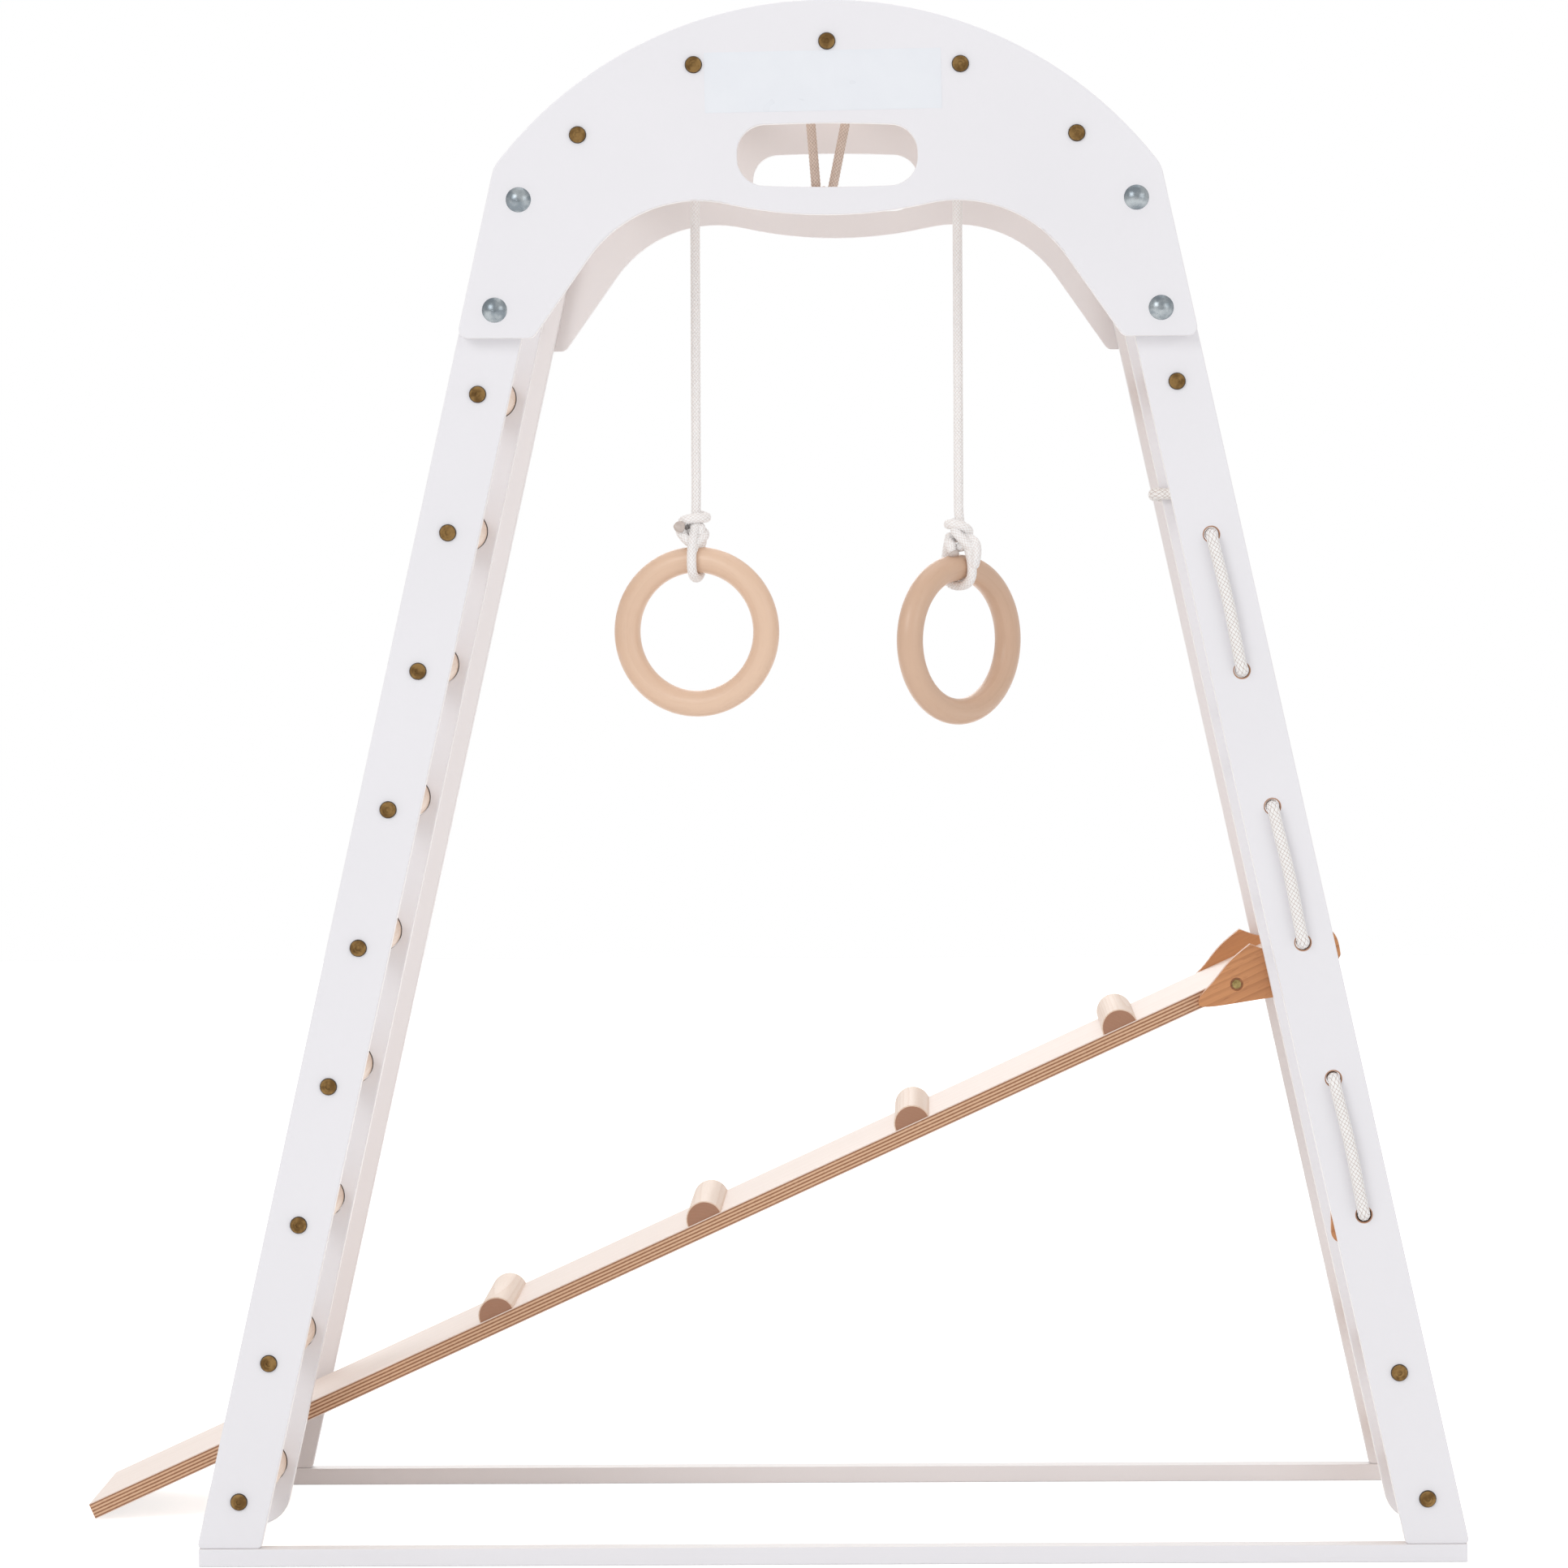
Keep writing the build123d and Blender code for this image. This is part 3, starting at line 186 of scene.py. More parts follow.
bands = wood.add("ShaderNodeTexWave", {"wave_type": "RINGS", "rings_direction": "Z", "wave_profile": "SAW"})
wood.feed(bands, "Vector", swayed.outputs[0])
wood.feed(bands, "Scale", given["Rings"])
bands.inputs["Distortion"].default_value = 0.6
bands.inputs["Detail"].default_value = 1.0
late = wood.math("POWER", bands.outputs["Fac"], 2.2)
fibre = wood.noise(wood.stretch(given["Place"], (900, 900, 16)), 1.0, 3.0, 0.6)
broad = wood.noise(wood.stretch(given["Place"], (60, 60, 3)), 1.0, 2.0)
fleck = wood.ease(wood.noise(wood.stretch(given["Place"], (700, 700, 90)), 1.0, 1.0), 0.62, 0.72)
tone = wood.math("MULTIPLY", late, given["Ring Strength"])
fine = wood.math("MULTIPLY", wood.math("SUBTRACT", fibre, 0.4), given["Fibre Strength"])
tone = wood.math("ADD", tone, fine)
tone = wood.math("ADD", tone, wood.math("MULTIPLY", fleck, given["Fleck Strength"]))
tone = wood.math("ADD", tone, wood.math("MULTIPLY", wood.math("SUBTRACT", broad, 0.5), 0.5), clamp=True)
wood.link(wood.mix(tone, given["Light"], given["Dark"]), out["Color"])
pits = wood.math("ADD", wood.math("MULTIPLY", fibre, 0.5), fleck)
wood.link(wood.math("SUBTRACT", 1.0, pits), out["Height"])
wood.link(wood.math("ADD", 0.38, wood.math("MULTIPLY", tone, 0.12)), out["Roughness"])

# Plywood edge: crossed plies in stripes over the height, with short pores

plies, given, out = group(
    "plywood edge",
    [
        ("Place", "vector", None),
        ("Height Share", "float", 0.5),
        ("Plies", "float", 5.0),
        ("Light", "color", (0.6, 0.4, 0.25, 1)),
        ("Dark", "color", (0.35, 0.2, 0.1, 1)),
    ],
    [("Color", "color"), ("Height", "float")],
)
wobble = plies.math("MULTIPLY", plies.math("SUBTRACT", plies.noise(given["Place"], 9.0), 0.5), 0.05)
share = plies.math("ADD", given["Height Share"], wobble)
turn = plies.math("MULTIPLY", plies.math("MULTIPLY", share, given["Plies"]), 2 * pi)
stripe = plies.ease(plies.math("COSINE", turn), -0.5, 0.35)
pores = plies.noise(plies.stretch(given["Place"], (500, 500, 500)), 1.0, 2.0)
pitted = plies.math("MULTIPLY", plies.math("SUBTRACT", pores, 0.5), 0.7)
tone = plies.math("ADD", stripe, pitted, clamp=True)
plies.link(plies.mix(tone, given["Dark"], given["Light"]), out["Color"])
plies.link(plies.math("MULTIPLY", plies.math("ADD", stripe, pores), 0.5), out["Height"])

# Satin paint: slow drift of tone, roller texture, and a warmer, darker colour on inner and cut faces: painted
# shade on inner faces, and on cut faces partly thinner paint and partly painted shade

paint, given, out = group(
    "satin paint",
    [
        ("Place", "vector", None),
        ("Face", "color", (0.8, 0.8, 0.82, 1)),
        ("Inner", "color", (0.7, 0.66, 0.63, 1)),
        ("Inner Share", "float", 0.0),
    ],
    [("Color", "color"), ("Height", "float"), ("Roughness", "float")],
)
drift = paint.noise(given["Place"], 5.0, 2.0)
peel = paint.noise(given["Place"], 900.0, 2.0)
cloud = paint.noise(given["Place"], 60.0, 2.0)
base = paint.mix(given["Inner Share"], given["Face"], given["Inner"])
shade = paint.math("ADD", 0.975, paint.math("MULTIPLY", drift, 0.05))
grey = paint.add("ShaderNodeCombineColor", Red=shade, Green=shade, Blue=shade)
paint.link(paint.mix(1.0, base, grey.outputs[0], "MULTIPLY"), out["Color"])
paint.link(paint.math("ADD", peel, paint.math("MULTIPLY", cloud, 0.6)), out["Height"])
paint.link(paint.math("ADD", 0.34, paint.math("MULTIPLY", cloud, 0.12)), out["Roughness"])

# Braid: diamond cells on the rope's own UV map, U once round and V in cell lengths

COLUMNS = 8
CELL = 0.44
braid, given, out = group(
    "braid",
    [("UV", "vector", None), ("Yarns", "float", 4.0)],
    [("Groove", "float"), ("Yarn", "float")],
)
flat = braid.add("ShaderNodeSeparateXYZ", Vector=given["UV"])
round_cells = braid.math("MULTIPLY", flat.outputs[0], COLUMNS)
rising = braid.math("ADD", round_cells, flat.outputs[1])
falling = braid.math("SUBTRACT", round_cells, flat.outputs[1])
parity = braid.math("ADD", braid.math("FLOOR", rising), braid.math("FLOOR", falling))
odd = braid.math("FLOORED_MODULO", parity, 2.0)
across = braid.mix(odd, braid.math("FRACT", falling), braid.math("FRACT", rising))
across = braid.add("ShaderNodeSeparateColor", Color=across).outputs[0]
middle = braid.math("SINE", braid.math("MULTIPLY", across, pi))
braid.link(braid.math("SUBTRACT", 1.0, braid.ease(middle, 0.0, 0.55)), out["Groove"])
yarn = braid.math("SINE", braid.math("MULTIPLY", across, braid.math("MULTIPLY", given["Yarns"], 2 * pi)))
braid.link(braid.math("ADD", 0.5, braid.math("MULTIPLY", yarn, 0.5)), out["Yarn"])

# Materials


def material(name, roughness=0.5, metallic=0.0, **settings):
    """New material with a Principled BSDF. settings are plain values of its sockets."""
    made = bpy.data.materials.new(name)
    made.use_nodes = True
    tree = Tree(made.node_tree)
    shader = made.node_tree.nodes["Principled BSDF"]
    shader.inputs["Roughness"].default_value = roughness
    shader.inputs["Metallic"].default_value = metallic
    for label, value in settings.items():
        shader.inputs[label.replace("_", " ")].default_value = value
    return made, tree, shader


def bump(tree, shader, height, distance, strength=1.0):
    """Bump the shader's normal. distance is the relief in metres."""
    node = tree.add("ShaderNodeBump", Height=height, Strength=strength, Distance=distance)
    tree.feed(shader, "Normal", node.outputs[0])


def object_place(tree):
    return tree.add("ShaderNodeTexCoord").outputs["Object"]


def use_group(tree, name, **inputs):
    """Place a node group. inputs are its sockets' values or what feeds them."""
    node = tree.add("ShaderNodeGroup")
    node.node_tree = bpy.data.node_groups[name]
    for label, value in inputs.items():
        tree.feed(node, label.replace("_", " "), value)
    return node.outputs


def face_part(tree, axis):
    """Part of the surface's normal along a world axis: 0 is X, 1 is Y and 2 is Z."""
    normal = tree.add("ShaderNodeNewGeometry").outputs["Normal"]
    return tree.add("ShaderNodeSeparateXYZ", Vector=normal).outputs[axis]


def wood_material(name, light, dark, turn, centre, coat=0.15, place=None, ends=None, **strengths):
    """Lacquered wood. turn takes the fibres to Z, and centre lies on the axis of the growth rings.

    place gives other coordinates than the object's. ends colours the end grain on faces across Y."""
    made, tree, shader = material(name, Coat_Weight=coat, Coat_Roughness=0.3)
    start = place(tree) if place else object_place(tree)
    moved = tree.stretch(start, (1, 1, 1), location=tuple(-value for value in centre))
    turned = tree.stretch(moved, (1, 1, 1), rotation=turn)
    grain = use_group(tree, "wood grain", Place=turned, Light=light, Dark=dark, **strengths)
    colour = grain["Color"]
    if ends:
        along_y = face_part(tree, 1)
        share = tree.ease(tree.math("ABSOLUTE", along_y), 0.85, 0.97)
        colour = tree.mix(share, colour, tree.mix(0.12, ends, colour))
    tree.feed(shader, "Base Color", colour)
    tree.feed(shader, "Roughness", grain["Roughness"])
    bump(tree, shader, grain["Height"], 0.00012, 0.5)
    return made


# PAINT_SHADE is painted shade on the boards' inward faces. The cut faces' colour is partly thinner paint and
# partly painted shade.
PAINT = rgb(235, 234, 238)
EDGE_PAINT_AND_SHADE = rgb(241, 238, 238)
PAINT_SHADE = rgb(235, 230, 230)
BARE_EDGE = rgb(196, 152, 124)
# Painted shade in the gap between the rungs and the walls of their holes.
GAP_SHADE = rgb(70, 58, 50)

# Holes down a board: its side, the lowest one's height, their pitch along the board, how many, and the rim

ROPE_HOLES = (1, LAST_HOLE, HOLE_PITCH, HOLE_COUNT, 7.7)
RUNG_HOLES = (-1, FIRST_RUNG, RUNG_PITCH, RUNG_COUNT, 18.9)


def hole_share(tree, side, lowest, pitch, count, rim):
    """1 within the rims of the holes, which lie evenly spaced along a leaning board."""
    start = at(side * centre_x(lowest), 0, lowest)
    moved = tree.stretch(object_place(tree), (1, 1, 1), location=tuple(-value for value in start))
    turned = tree.stretch(moved, (1 / MM, 1 / MM, 1 / MM), rotation=(0, side * radians(POST_LEAN), 0))
    parts = tree.add("ShaderNodeSeparateXYZ", Vector=turned)
    steps = tree.math("DIVIDE", parts.outputs[2], pitch)
    nearest = tree.math("MINIMUM", tree.math("MAXIMUM", tree.math("ROUND", steps), 0.0), count - 1.0)
    along = tree.math("MULTIPLY", tree.math("SUBTRACT", steps, nearest), pitch)
    across = parts.outputs[0]
    square = tree.math("ADD", tree.math("MULTIPLY", along, along), tree.math("MULTIPLY", across, across))
    away = tree.math("SQRT", square)
    return tree.math("SUBTRACT", 1.0, tree.ease(away, rim - 0.2, rim))


def paint_material(name, inner_side, holes=None, bare_rim_or_gap_shade=BARE_EDGE):
    """White paint. inner_side is 1 or -1 for boards whose inward face points to +Y or -Y, else 0. Inward
    faces take painted shade, and cut faces a colour that is partly thinner paint and partly painted shade.

    holes is a row of holes, whose rims and walls take the rim colour: bare wood round the rope holes, painted
    shade of the gap round the rungs."""
    made, tree, shader = material(name, Coat_Weight=0.1, Coat_Roughness=0.35)
    along_y = face_part(tree, 1)
    cut = tree.math("SUBTRACT", 1.0, tree.ease(tree.math("ABSOLUTE", along_y), 0.3, 0.8))
    inward_shade = tree.ease(tree.math("MULTIPLY", along_y, float(inner_side)), 0.5, 0.9)
    # Painted shade: inward faces take PAINT_SHADE, and cut faces a colour that is partly thinner paint and
    # partly painted shade.
    inner_shade = tree.mix(cut, PAINT_SHADE, EDGE_PAINT_AND_SHADE)
    share = tree.math("MAXIMUM", cut, inward_shade)
    place = object_place(tree)
    made_paint = use_group(tree, "satin paint", Place=place, Face=PAINT, Inner=inner_shade, Inner_Share=share)
    colour = made_paint["Color"]
    if holes:
        colour = tree.mix(hole_share(tree, *holes), colour, bare_rim_or_gap_shade)
    tree.feed(shader, "Base Color", colour)
    tree.feed(shader, "Roughness", made_paint["Roughness"])
    bump(tree, shader, made_paint["Height"], 0.00008, 0.35)
    return made


front_paint = paint_material("front_white_paint", 1)
rope_post_paint = paint_material("rope_post_white_paint", 1, holes=ROPE_HOLES)
# The rung holes' rims and walls take painted shade of the gap round each rung.
rung_board_paint = paint_material("rung_board_white_paint", 0, holes=RUNG_HOLES, bare_rim_or_gap_shade=GAP_SHADE)
back_paint = paint_material("back_white_paint", -1)
middle_paint = paint_material("middle_white_paint", 0)

ALONG_Y = (radians(90), 0, 0)
BEECH_LIGHT = rgb(232, 205, 182)
BEECH_DARK = rgb(206, 168, 138)


def bar_material(node, number):
    """Beech bar along Y, its growth rings centred beside it and a little different on each bar."""
    low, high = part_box(node)
    across = (low.x + high.x) / 2
    height = (low.z + high.z) / 2
    angle = 2.4 * number
    centre = (across + 0.03 * cos(angle), 0.07 * number, height + 0.03 * sin(angle))
    return wood_material(
        f"beech_{node}", BEECH_LIGHT, BEECH_DARK, ALONG_Y, centre,
        Rings=70.0, Ring_Strength=0.3, Fibre_Strength=0.35, Fleck_Strength=0.28,
    )


# Ramp: birch face on top and below, plywood stripes on the sides and ends

HOOK_BAR_HEIGHT = 478.5
RAMP_GAP = 0.3
RAMP_UNDER = BAR_RADIUS + RAMP_GAP
RAMP_THICKNESS = 15.0
RAMP_REACH = 1191.0
RAMP_FALL = HOOK_BAR_HEIGHT - RAMP_GAP
SLOPE = atan2(RAMP_UNDER, RAMP_REACH) + asin(RAMP_FALL / sqrt(RAMP_REACH**2 + RAMP_UNDER**2))


def ramp_place(tree):
    """Object coordinates turned so that X runs up the slope and Z stands on the ramp board."""
    start = object_place(tree)
    origin = at(centre_x(HOOK_BAR_HEIGHT), 0, HOOK_BAR_HEIGHT)
    moved = tree.stretch(start, (1, 1, 1), location=tuple(-value for value in origin))
    return tree.stretch(moved, (1, 1, 1), rotation=(0, SLOPE, 0))


def ramp_material():
    """Birch face grain over the board's top and underside, plies on its sides and ends."""
    made, tree, shader = material("birch_plywood", Coat_Weight=0.15, Coat_Roughness=0.3)
    place = ramp_place(tree)
    height = tree.add("ShaderNodeSeparateXYZ", Vector=place).outputs[2]
    share = tree.math("DIVIDE", tree.math("SUBTRACT", height, RAMP_UNDER * MM), RAMP_THICKNESS * MM)
    edge = use_group(
        tree, "plywood edge", Place=place, Height_Share=share, Plies=5.0,
        Light=rgb(220, 180, 146), Dark=rgb(148, 98, 64),
    )
    along_x = tree.stretch(place, (1, 1, 1), rotation=(0, radians(90), 0), location=(0.0, 0.11, 0.05))
    face = use_group(
        tree, "wood grain", Place=along_x, Light=rgb(236, 219, 208), Dark=rgb(218, 192, 175),
        Rings=26.0, Ring_Strength=0.35, Fibre_Strength=0.35, Fleck_Strength=0.12,
    )
    middle = tree.math("ABSOLUTE", tree.math("SUBTRACT", share, 0.5))
    on_face = tree.ease(middle, 0.42, 0.47)
    tree.feed(shader, "Base Color", tree.mix(on_face, edge["Color"], face["Color"]))
    tree.feed(shader, "Roughness", face["Roughness"])
    bump(tree, shader, tree.math("ADD", face["Height"], edge["Height"]), 0.0001, 0.4)
    return made


birch_ply = ramp_material()
RIB_LIGHT = rgb(230, 206, 186)
RIB_DARK = rgb(202, 164, 132)
RIB_END = rgb(152, 100, 68)
hook_wood = wood_material(
    "hook_hardwood", rgb(204, 142, 92), rgb(160, 100, 58),
    (0, radians(90), 0), (0, 0, 0), place=ramp_place, coat=0.2,
    Rings=60.0, Ring_Strength=0.5, Fibre_Strength=0.6, Fleck_Strength=0.3,
)


def rib_material(node, number):
    """Birch rib along Y, its growth rings centred under it and a little different on each rib."""
    low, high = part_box(node)
    centre = ((low.x + high.x) / 2 + 0.012 * number - 0.03, 0.05 * number, low.z - 0.05)
    return wood_material(
        f"birch_{node}", RIB_LIGHT, RIB_DARK, ALONG_Y, centre, ends=RIB_END,
        Rings=110.0, Ring_Strength=0.35, Fibre_Strength=0.35, Fleck_Strength=0.2,
    )


def metal_material(name, light, dark, roughness, scale, recess_shade=0.0):
    """Plated metal with darker, duller patches, and painted shade that darkens it towards its outline, where
    the surface turns from the view. Its last argument paints shade into rims and sockets, which don't face Y.
    """
    made, tree, shader = material(name, metallic=1.0)
    place = object_place(tree)
    patch = tree.ease(tree.noise(place, scale, 3.0), 0.35, 0.65)
    fine = tree.noise(place, scale * 12, 2.0)
    # Painted shade: towards the outline, where the surface turns from the view, the colour darkens to near
    # black.
    facing = tree.add("ShaderNodeLayerWeight", Blend=0.35).outputs["Facing"]
    edge = tree.mix(0.75, dark, (0.02, 0.02, 0.02, 1))
    colour = tree.mix(tree.ease(facing, 0.12, 0.75), tree.mix(patch, dark, light), edge)
    # Painted shade in rims and sockets: faces that don't face Y darken towards the near-black rim colour.
    if recess_shade:
        flat = tree.ease(tree.math("ABSOLUTE", face_part(tree, 1)), 0.8, 0.98)
        steep = tree.math("SUBTRACT", 1.0, flat)
        colour = tree.mix(tree.math("MULTIPLY", steep, recess_shade), colour, edge)
    tree.feed(shader, "Base Color", colour)
    tree.feed(shader, "Roughness", tree.math("ADD", roughness, tree.math("MULTIPLY", fine, 0.15)))
    bump(tree, shader, fine, 0.00004, 0.4)
    return made


antique_brass = metal_material("antique_brass", rgb(134, 106, 66), rgb(98, 74, 44), 0.36, 160.0, recess_shade=0.9)
zinc = metal_material("zinc_plate", rgb(158, 164, 167), rgb(118, 126, 132), 0.2, 90.0)
yellow_zinc = metal_material("yellow_zinc", rgb(168, 150, 100), rgb(124, 106, 66), 0.35, 200.0, recess_shade=0.8)


def label_material():
    """Bare white film with a soft gloss."""
    made, tree, shader = material("blank_label", Coat_Weight=0.4, Coat_Roughness=0.15)
    place = object_place(tree)
    cloud = tree.noise(place, 40.0, 2.0)
    tree.feed(shader, "Base Color", tree.mix(cloud, rgb(231, 234, 240), rgb(236, 239, 244)))
    tree.feed(shader, "Roughness", tree.math("ADD", 0.25, tree.math("MULTIPLY", cloud, 0.1)))
    bump(tree, shader, tree.noise(place, 300.0), 0.00003, 0.3)
    return made


blank_label = label_material()


def rope_material(name, light, dark):
    """White braid: painted shade in the grooves between the strands, and fine yarns along them."""
    made, tree, shader = material(name, Sheen_Weight=0.25, Sheen_Roughness=0.4)
    uv = tree.add("ShaderNodeUVMap", {"uv_map": "braid"}).outputs[0]
    cells = use_group(tree, "braid", UV=uv, Yarns=4.0)
    place = object_place(tree)
    cloud = tree.noise(place, 120.0, 2.0)
    # Painted shade: the grooves between the strands darken towards the dark colour.
    groove_shade = tree.math("MULTIPLY", cells["Groove"], 0.95)
    shade = tree.math("ADD", groove_shade, tree.math("MULTIPLY", cloud, 0.15), clamp=True)
    tree.feed(shader, "Base Color", tree.mix(shade, light, dark))
    tree.feed(shader, "Roughness", tree.math("SUBTRACT", 0.62, tree.math("MULTIPLY", cells["Yarn"], 0.15)))
    bump(tree, shader, tree.math("SUBTRACT", cells["Yarn"], cells["Groove"]), 0.00015, 0.5)
    return made


white_rope = rope_material("white_braid", rgb(255, 255, 255), rgb(226, 212, 206))
# The side rope's copy takes a darker painted shade in its grooves.
laced_rope = rope_material("laced_braid", rgb(255, 255, 254), rgb(184, 162, 152))
# A darker, browner copy of the braid all over: painted shade for the sling hanging inside the frame.
shaded_rope = rope_material("shaded_braid", rgb(232, 214, 202), rgb(168, 142, 126))


def melted_material():
    """Rope ends sealed with a flame: greyish, smooth and slightly clear."""
    made, tree, shader = material("melted_rope_end", Coat_Weight=0.3, Coat_Roughness=0.2)
    cloud = tree.noise(object_place(tree), 350.0, 3.0)
    tree.feed(shader, "Base Color", tree.mix(cloud, rgb(178, 166, 160), rgb(212, 200, 192)))
    tree.feed(shader, "Roughness", tree.math("ADD", 0.3, tree.math("MULTIPLY", cloud, 0.3)))
    bump(tree, shader, cloud, 0.0003, 0.5)
    return made


melted_end = melted_material()


def ring_place(tree):
    """The ring's own wood coordinates: across, through and along its bent fibres, in metres."""
    return tree.add("ShaderNodeAttribute", {"attribute_name": "wood place"}).outputs["Vector"]


RING_TONES = {
    "left": (rgb(228, 196, 170), rgb(206, 168, 140)),
    "right": (rgb(210, 176, 150), rgb(184, 146, 120)),
}


def ring_material(side):
    """Beech bent round the ring, the right one a shade darker."""
    return wood_material(
        f"{side}_ring_beech", *RING_TONES[side], (0, 0, 0), (0, 0, 0), place=ring_place, coat=0.25,
        Rings=40.0, Ring_Strength=0.12, Fibre_Strength=0.22, Fleck_Strength=0.1,
    )


# Meshes


def mesh_object(name, points, faces, finish, uv=None):
    """Smooth object at the origin from an array of points and a list of faces."""
    mesh = bpy.data.meshes.new(name)
    mesh.from_pydata(points.tolist(), [], faces)
    mesh.materials.append(finish)
    mesh.polygons.foreach_set("use_smooth", np.full(len(mesh.polygons), True))
    if uv is not None:
        layer = mesh.uv_layers.new(name="braid")
        layer.data.foreach_set("uv", uv.ravel())
    mesh.update()
    made = bpy.data.objects.new(name, mesh)
    bpy.context.scene.collection.objects.link(made)
    return made


def route_line(points):
    """Smooth line through a route: its points control a NURBS spline of order 3."""
    curve = bpy.data.curves.new("route", "CURVE")
    curve.dimensions = "3D"
    spline = curve.splines.new("NURBS")
    spline.points.add(len(points) - 1)
    spline.points.foreach_set("co", np.c_[np.array(points), np.ones(len(points))].ravel())
    spline.order_u = 3
    spline.use_endpoint_u = True
    spline.resolution_u = 24
    holder = bpy.data.objects.new("route", curve)
    line_mesh = bpy.data.meshes.new_from_object(holder)
    line = np.empty(len(line_mesh.vertices) * 3)
    line_mesh.vertices.foreach_get("co", line)
    bpy.data.objects.remove(holder)
    bpy.data.meshes.remove(line_mesh)
    bpy.data.curves.remove(curve)
    return line.reshape(-1, 3)


def even_steps(line, step):
    """The same line with its points an even step apart, and how far along it each one lies."""
    runs = np.linalg.norm(np.diff(line, axis=0), axis=1)
    keep = np.r_[True, runs > 1e-7]
    line = line[keep]
    far = np.r_[0, np.cumsum(np.linalg.norm(np.diff(line, axis=0), axis=1))]
    places = np.linspace(0, far[-1], max(8, round(far[-1] / step)))
    return np.stack([np.interp(places, far, line[:, axis]) for axis in range(3)], axis=1), places


def steady_frames(line):
    """Unit tangents and two normals along a line, each pair turned no more than the line bends."""
    tangent = np.gradient(line, axis=0)
    tangent /= np.linalg.norm(tangent, axis=1)[:, None]
    first = np.cross(tangent[0], (0.31, 0.87, 0.38))
    normal = np.empty_like(line)
    normal[0] = first / np.linalg.norm(first)
    for index in range(1, len(line)):
        lean = normal[index - 1] - tangent[index] * (normal[index - 1] @ tangent[index])
        normal[index] = lean / np.linalg.norm(lean)
    return tangent, normal, np.cross(tangent, normal)


def braid_height(around, cells):
    """Height of the strands, 0 to 1: each diamond cell is a strand over, crowned across and along."""
    rising = COLUMNS * around + cells
    falling = COLUMNS * around - cells
    odd = (np.floor(rising) + np.floor(falling)) % 2
    up = np.sin(pi * (rising % 1))
    down = np.sin(pi * (falling % 1))
    return np.where(odd > 0.5, np.sqrt(up) * (0.55 + 0.45 * down), np.sqrt(down) * (0.55 + 0.45 * up))


def tube_faces(rows, sides):
    """Quads between neighbouring rows of a tube's points, and one face across each end."""
    start = np.arange(rows - 1)[:, None] * sides + np.arange(sides)[None, :]
    after = np.arange(rows - 1)[:, None] * sides + (np.arange(sides)[None, :] + 1) % sides
    faces = np.stack([start, after, after + sides, start + sides], axis=-1).reshape(-1, 4).tolist()
    faces.append(list(range(sides))[::-1])
    faces.append(list(range((rows - 1) * sides, rows * sides)))
    return faces


def rope_tube(name, line, diameter, finish=white_rope, per_cell=6, sides=48):
    """Braided rope along a line. Its radius is the rope's, raised by braid_height, and the ends round off.

    per_cell is the number of steps along one diamond cell of the braid."""
    line, places = even_steps(line, CELL * diameter / per_cell)
    tangent, normal, side = steady_frames(line)
    angle = np.linspace(0, 2 * pi, sides, endpoint=False)
    cells = places / (CELL * diameter)
    height = braid_height((angle / (2 * pi))[None, :], cells[:, None])
    radius = diameter / 2 * (0.90 + 0.20 * height)
    for gone in (places, places[-1] - places):
        share = np.clip(gone / (0.5 * diameter), 0, 1)
        radius = radius * np.sqrt(np.clip(1 - (1 - share) ** 2, 0.0025, 1))[:, None]
    cosine = np.cos(angle)[None, :, None]
    sine = np.sin(angle)[None, :, None]
    around = cosine * normal[:, None, :] + sine * side[:, None, :]
    points = (line[:, None, :] + radius[:, :, None] * around).reshape(-1, 3)
    rows = len(line)
    grid = (rows - 1, sides)
    low_u = np.broadcast_to(np.arange(sides)[None, :] / sides, grid)
    high_u = low_u + 1 / sides
    low_v = np.broadcast_to(cells[:-1, None], grid)
    high_v = np.broadcast_to(cells[1:, None], grid)
    corners = ((low_u, low_v), (high_u, low_v), (high_u, high_v), (low_u, high_v))
    uv = np.stack([np.stack(corner, -1) for corner in corners], axis=2).reshape(-1, 2)
    uv = np.concatenate([uv, np.zeros((2 * sides, 2))])
    return mesh_object(name, points, tube_faces(rows, sides), finish, uv=uv), line


def end_cap(name, centre, direction, diameter, length):
    """Melted rope end: a short blunt plug that rounds off towards its face."""
    way = np.array(direction, float)
    way /= np.linalg.norm(way)
    side = np.cross(way, (0.2, 0.9, 0.3))
    side /= np.linalg.norm(side)
    other = np.cross(way, side)
    along = np.linspace(0, 1, 14)
    profile = np.sqrt(np.clip(1 - np.clip((along - 0.62) / 0.38, 0, 1) ** 2.4, 0, 1))
    bulge = 1 + 0.10 * np.sin(pi * np.clip(along * 1.3, 0, 1))
    angle = np.linspace(0, 2 * pi, 32, endpoint=False)
    rough = 1 + 0.035 * np.sin(3 * angle + 0.7) + 0.02 * np.sin(7 * angle)
    radius = diameter / 2 * (profile * bulge)[:, None] * rough[None, :]
    radius[-1] = diameter * 0.004
    around = np.cos(angle)[None, :, None] * side + np.sin(angle)[None, :, None] * other
    middles = np.array(centre)[None, None, :] + along[:, None, None] * length * way
    points = middles + radius[:, :, None] * around
    return mesh_object(name, points.reshape(-1, 3), tube_faces(*radius.shape), melted_end)


# Rings: a torus whose wood coordinates follow the bend

RING_RADIUS = 63.5
RING_SECTION = 23.0
RING_STEPS = 160
SECTION_STEPS = 56
GROWTH_CENTRE = (-20.0, -6.0)


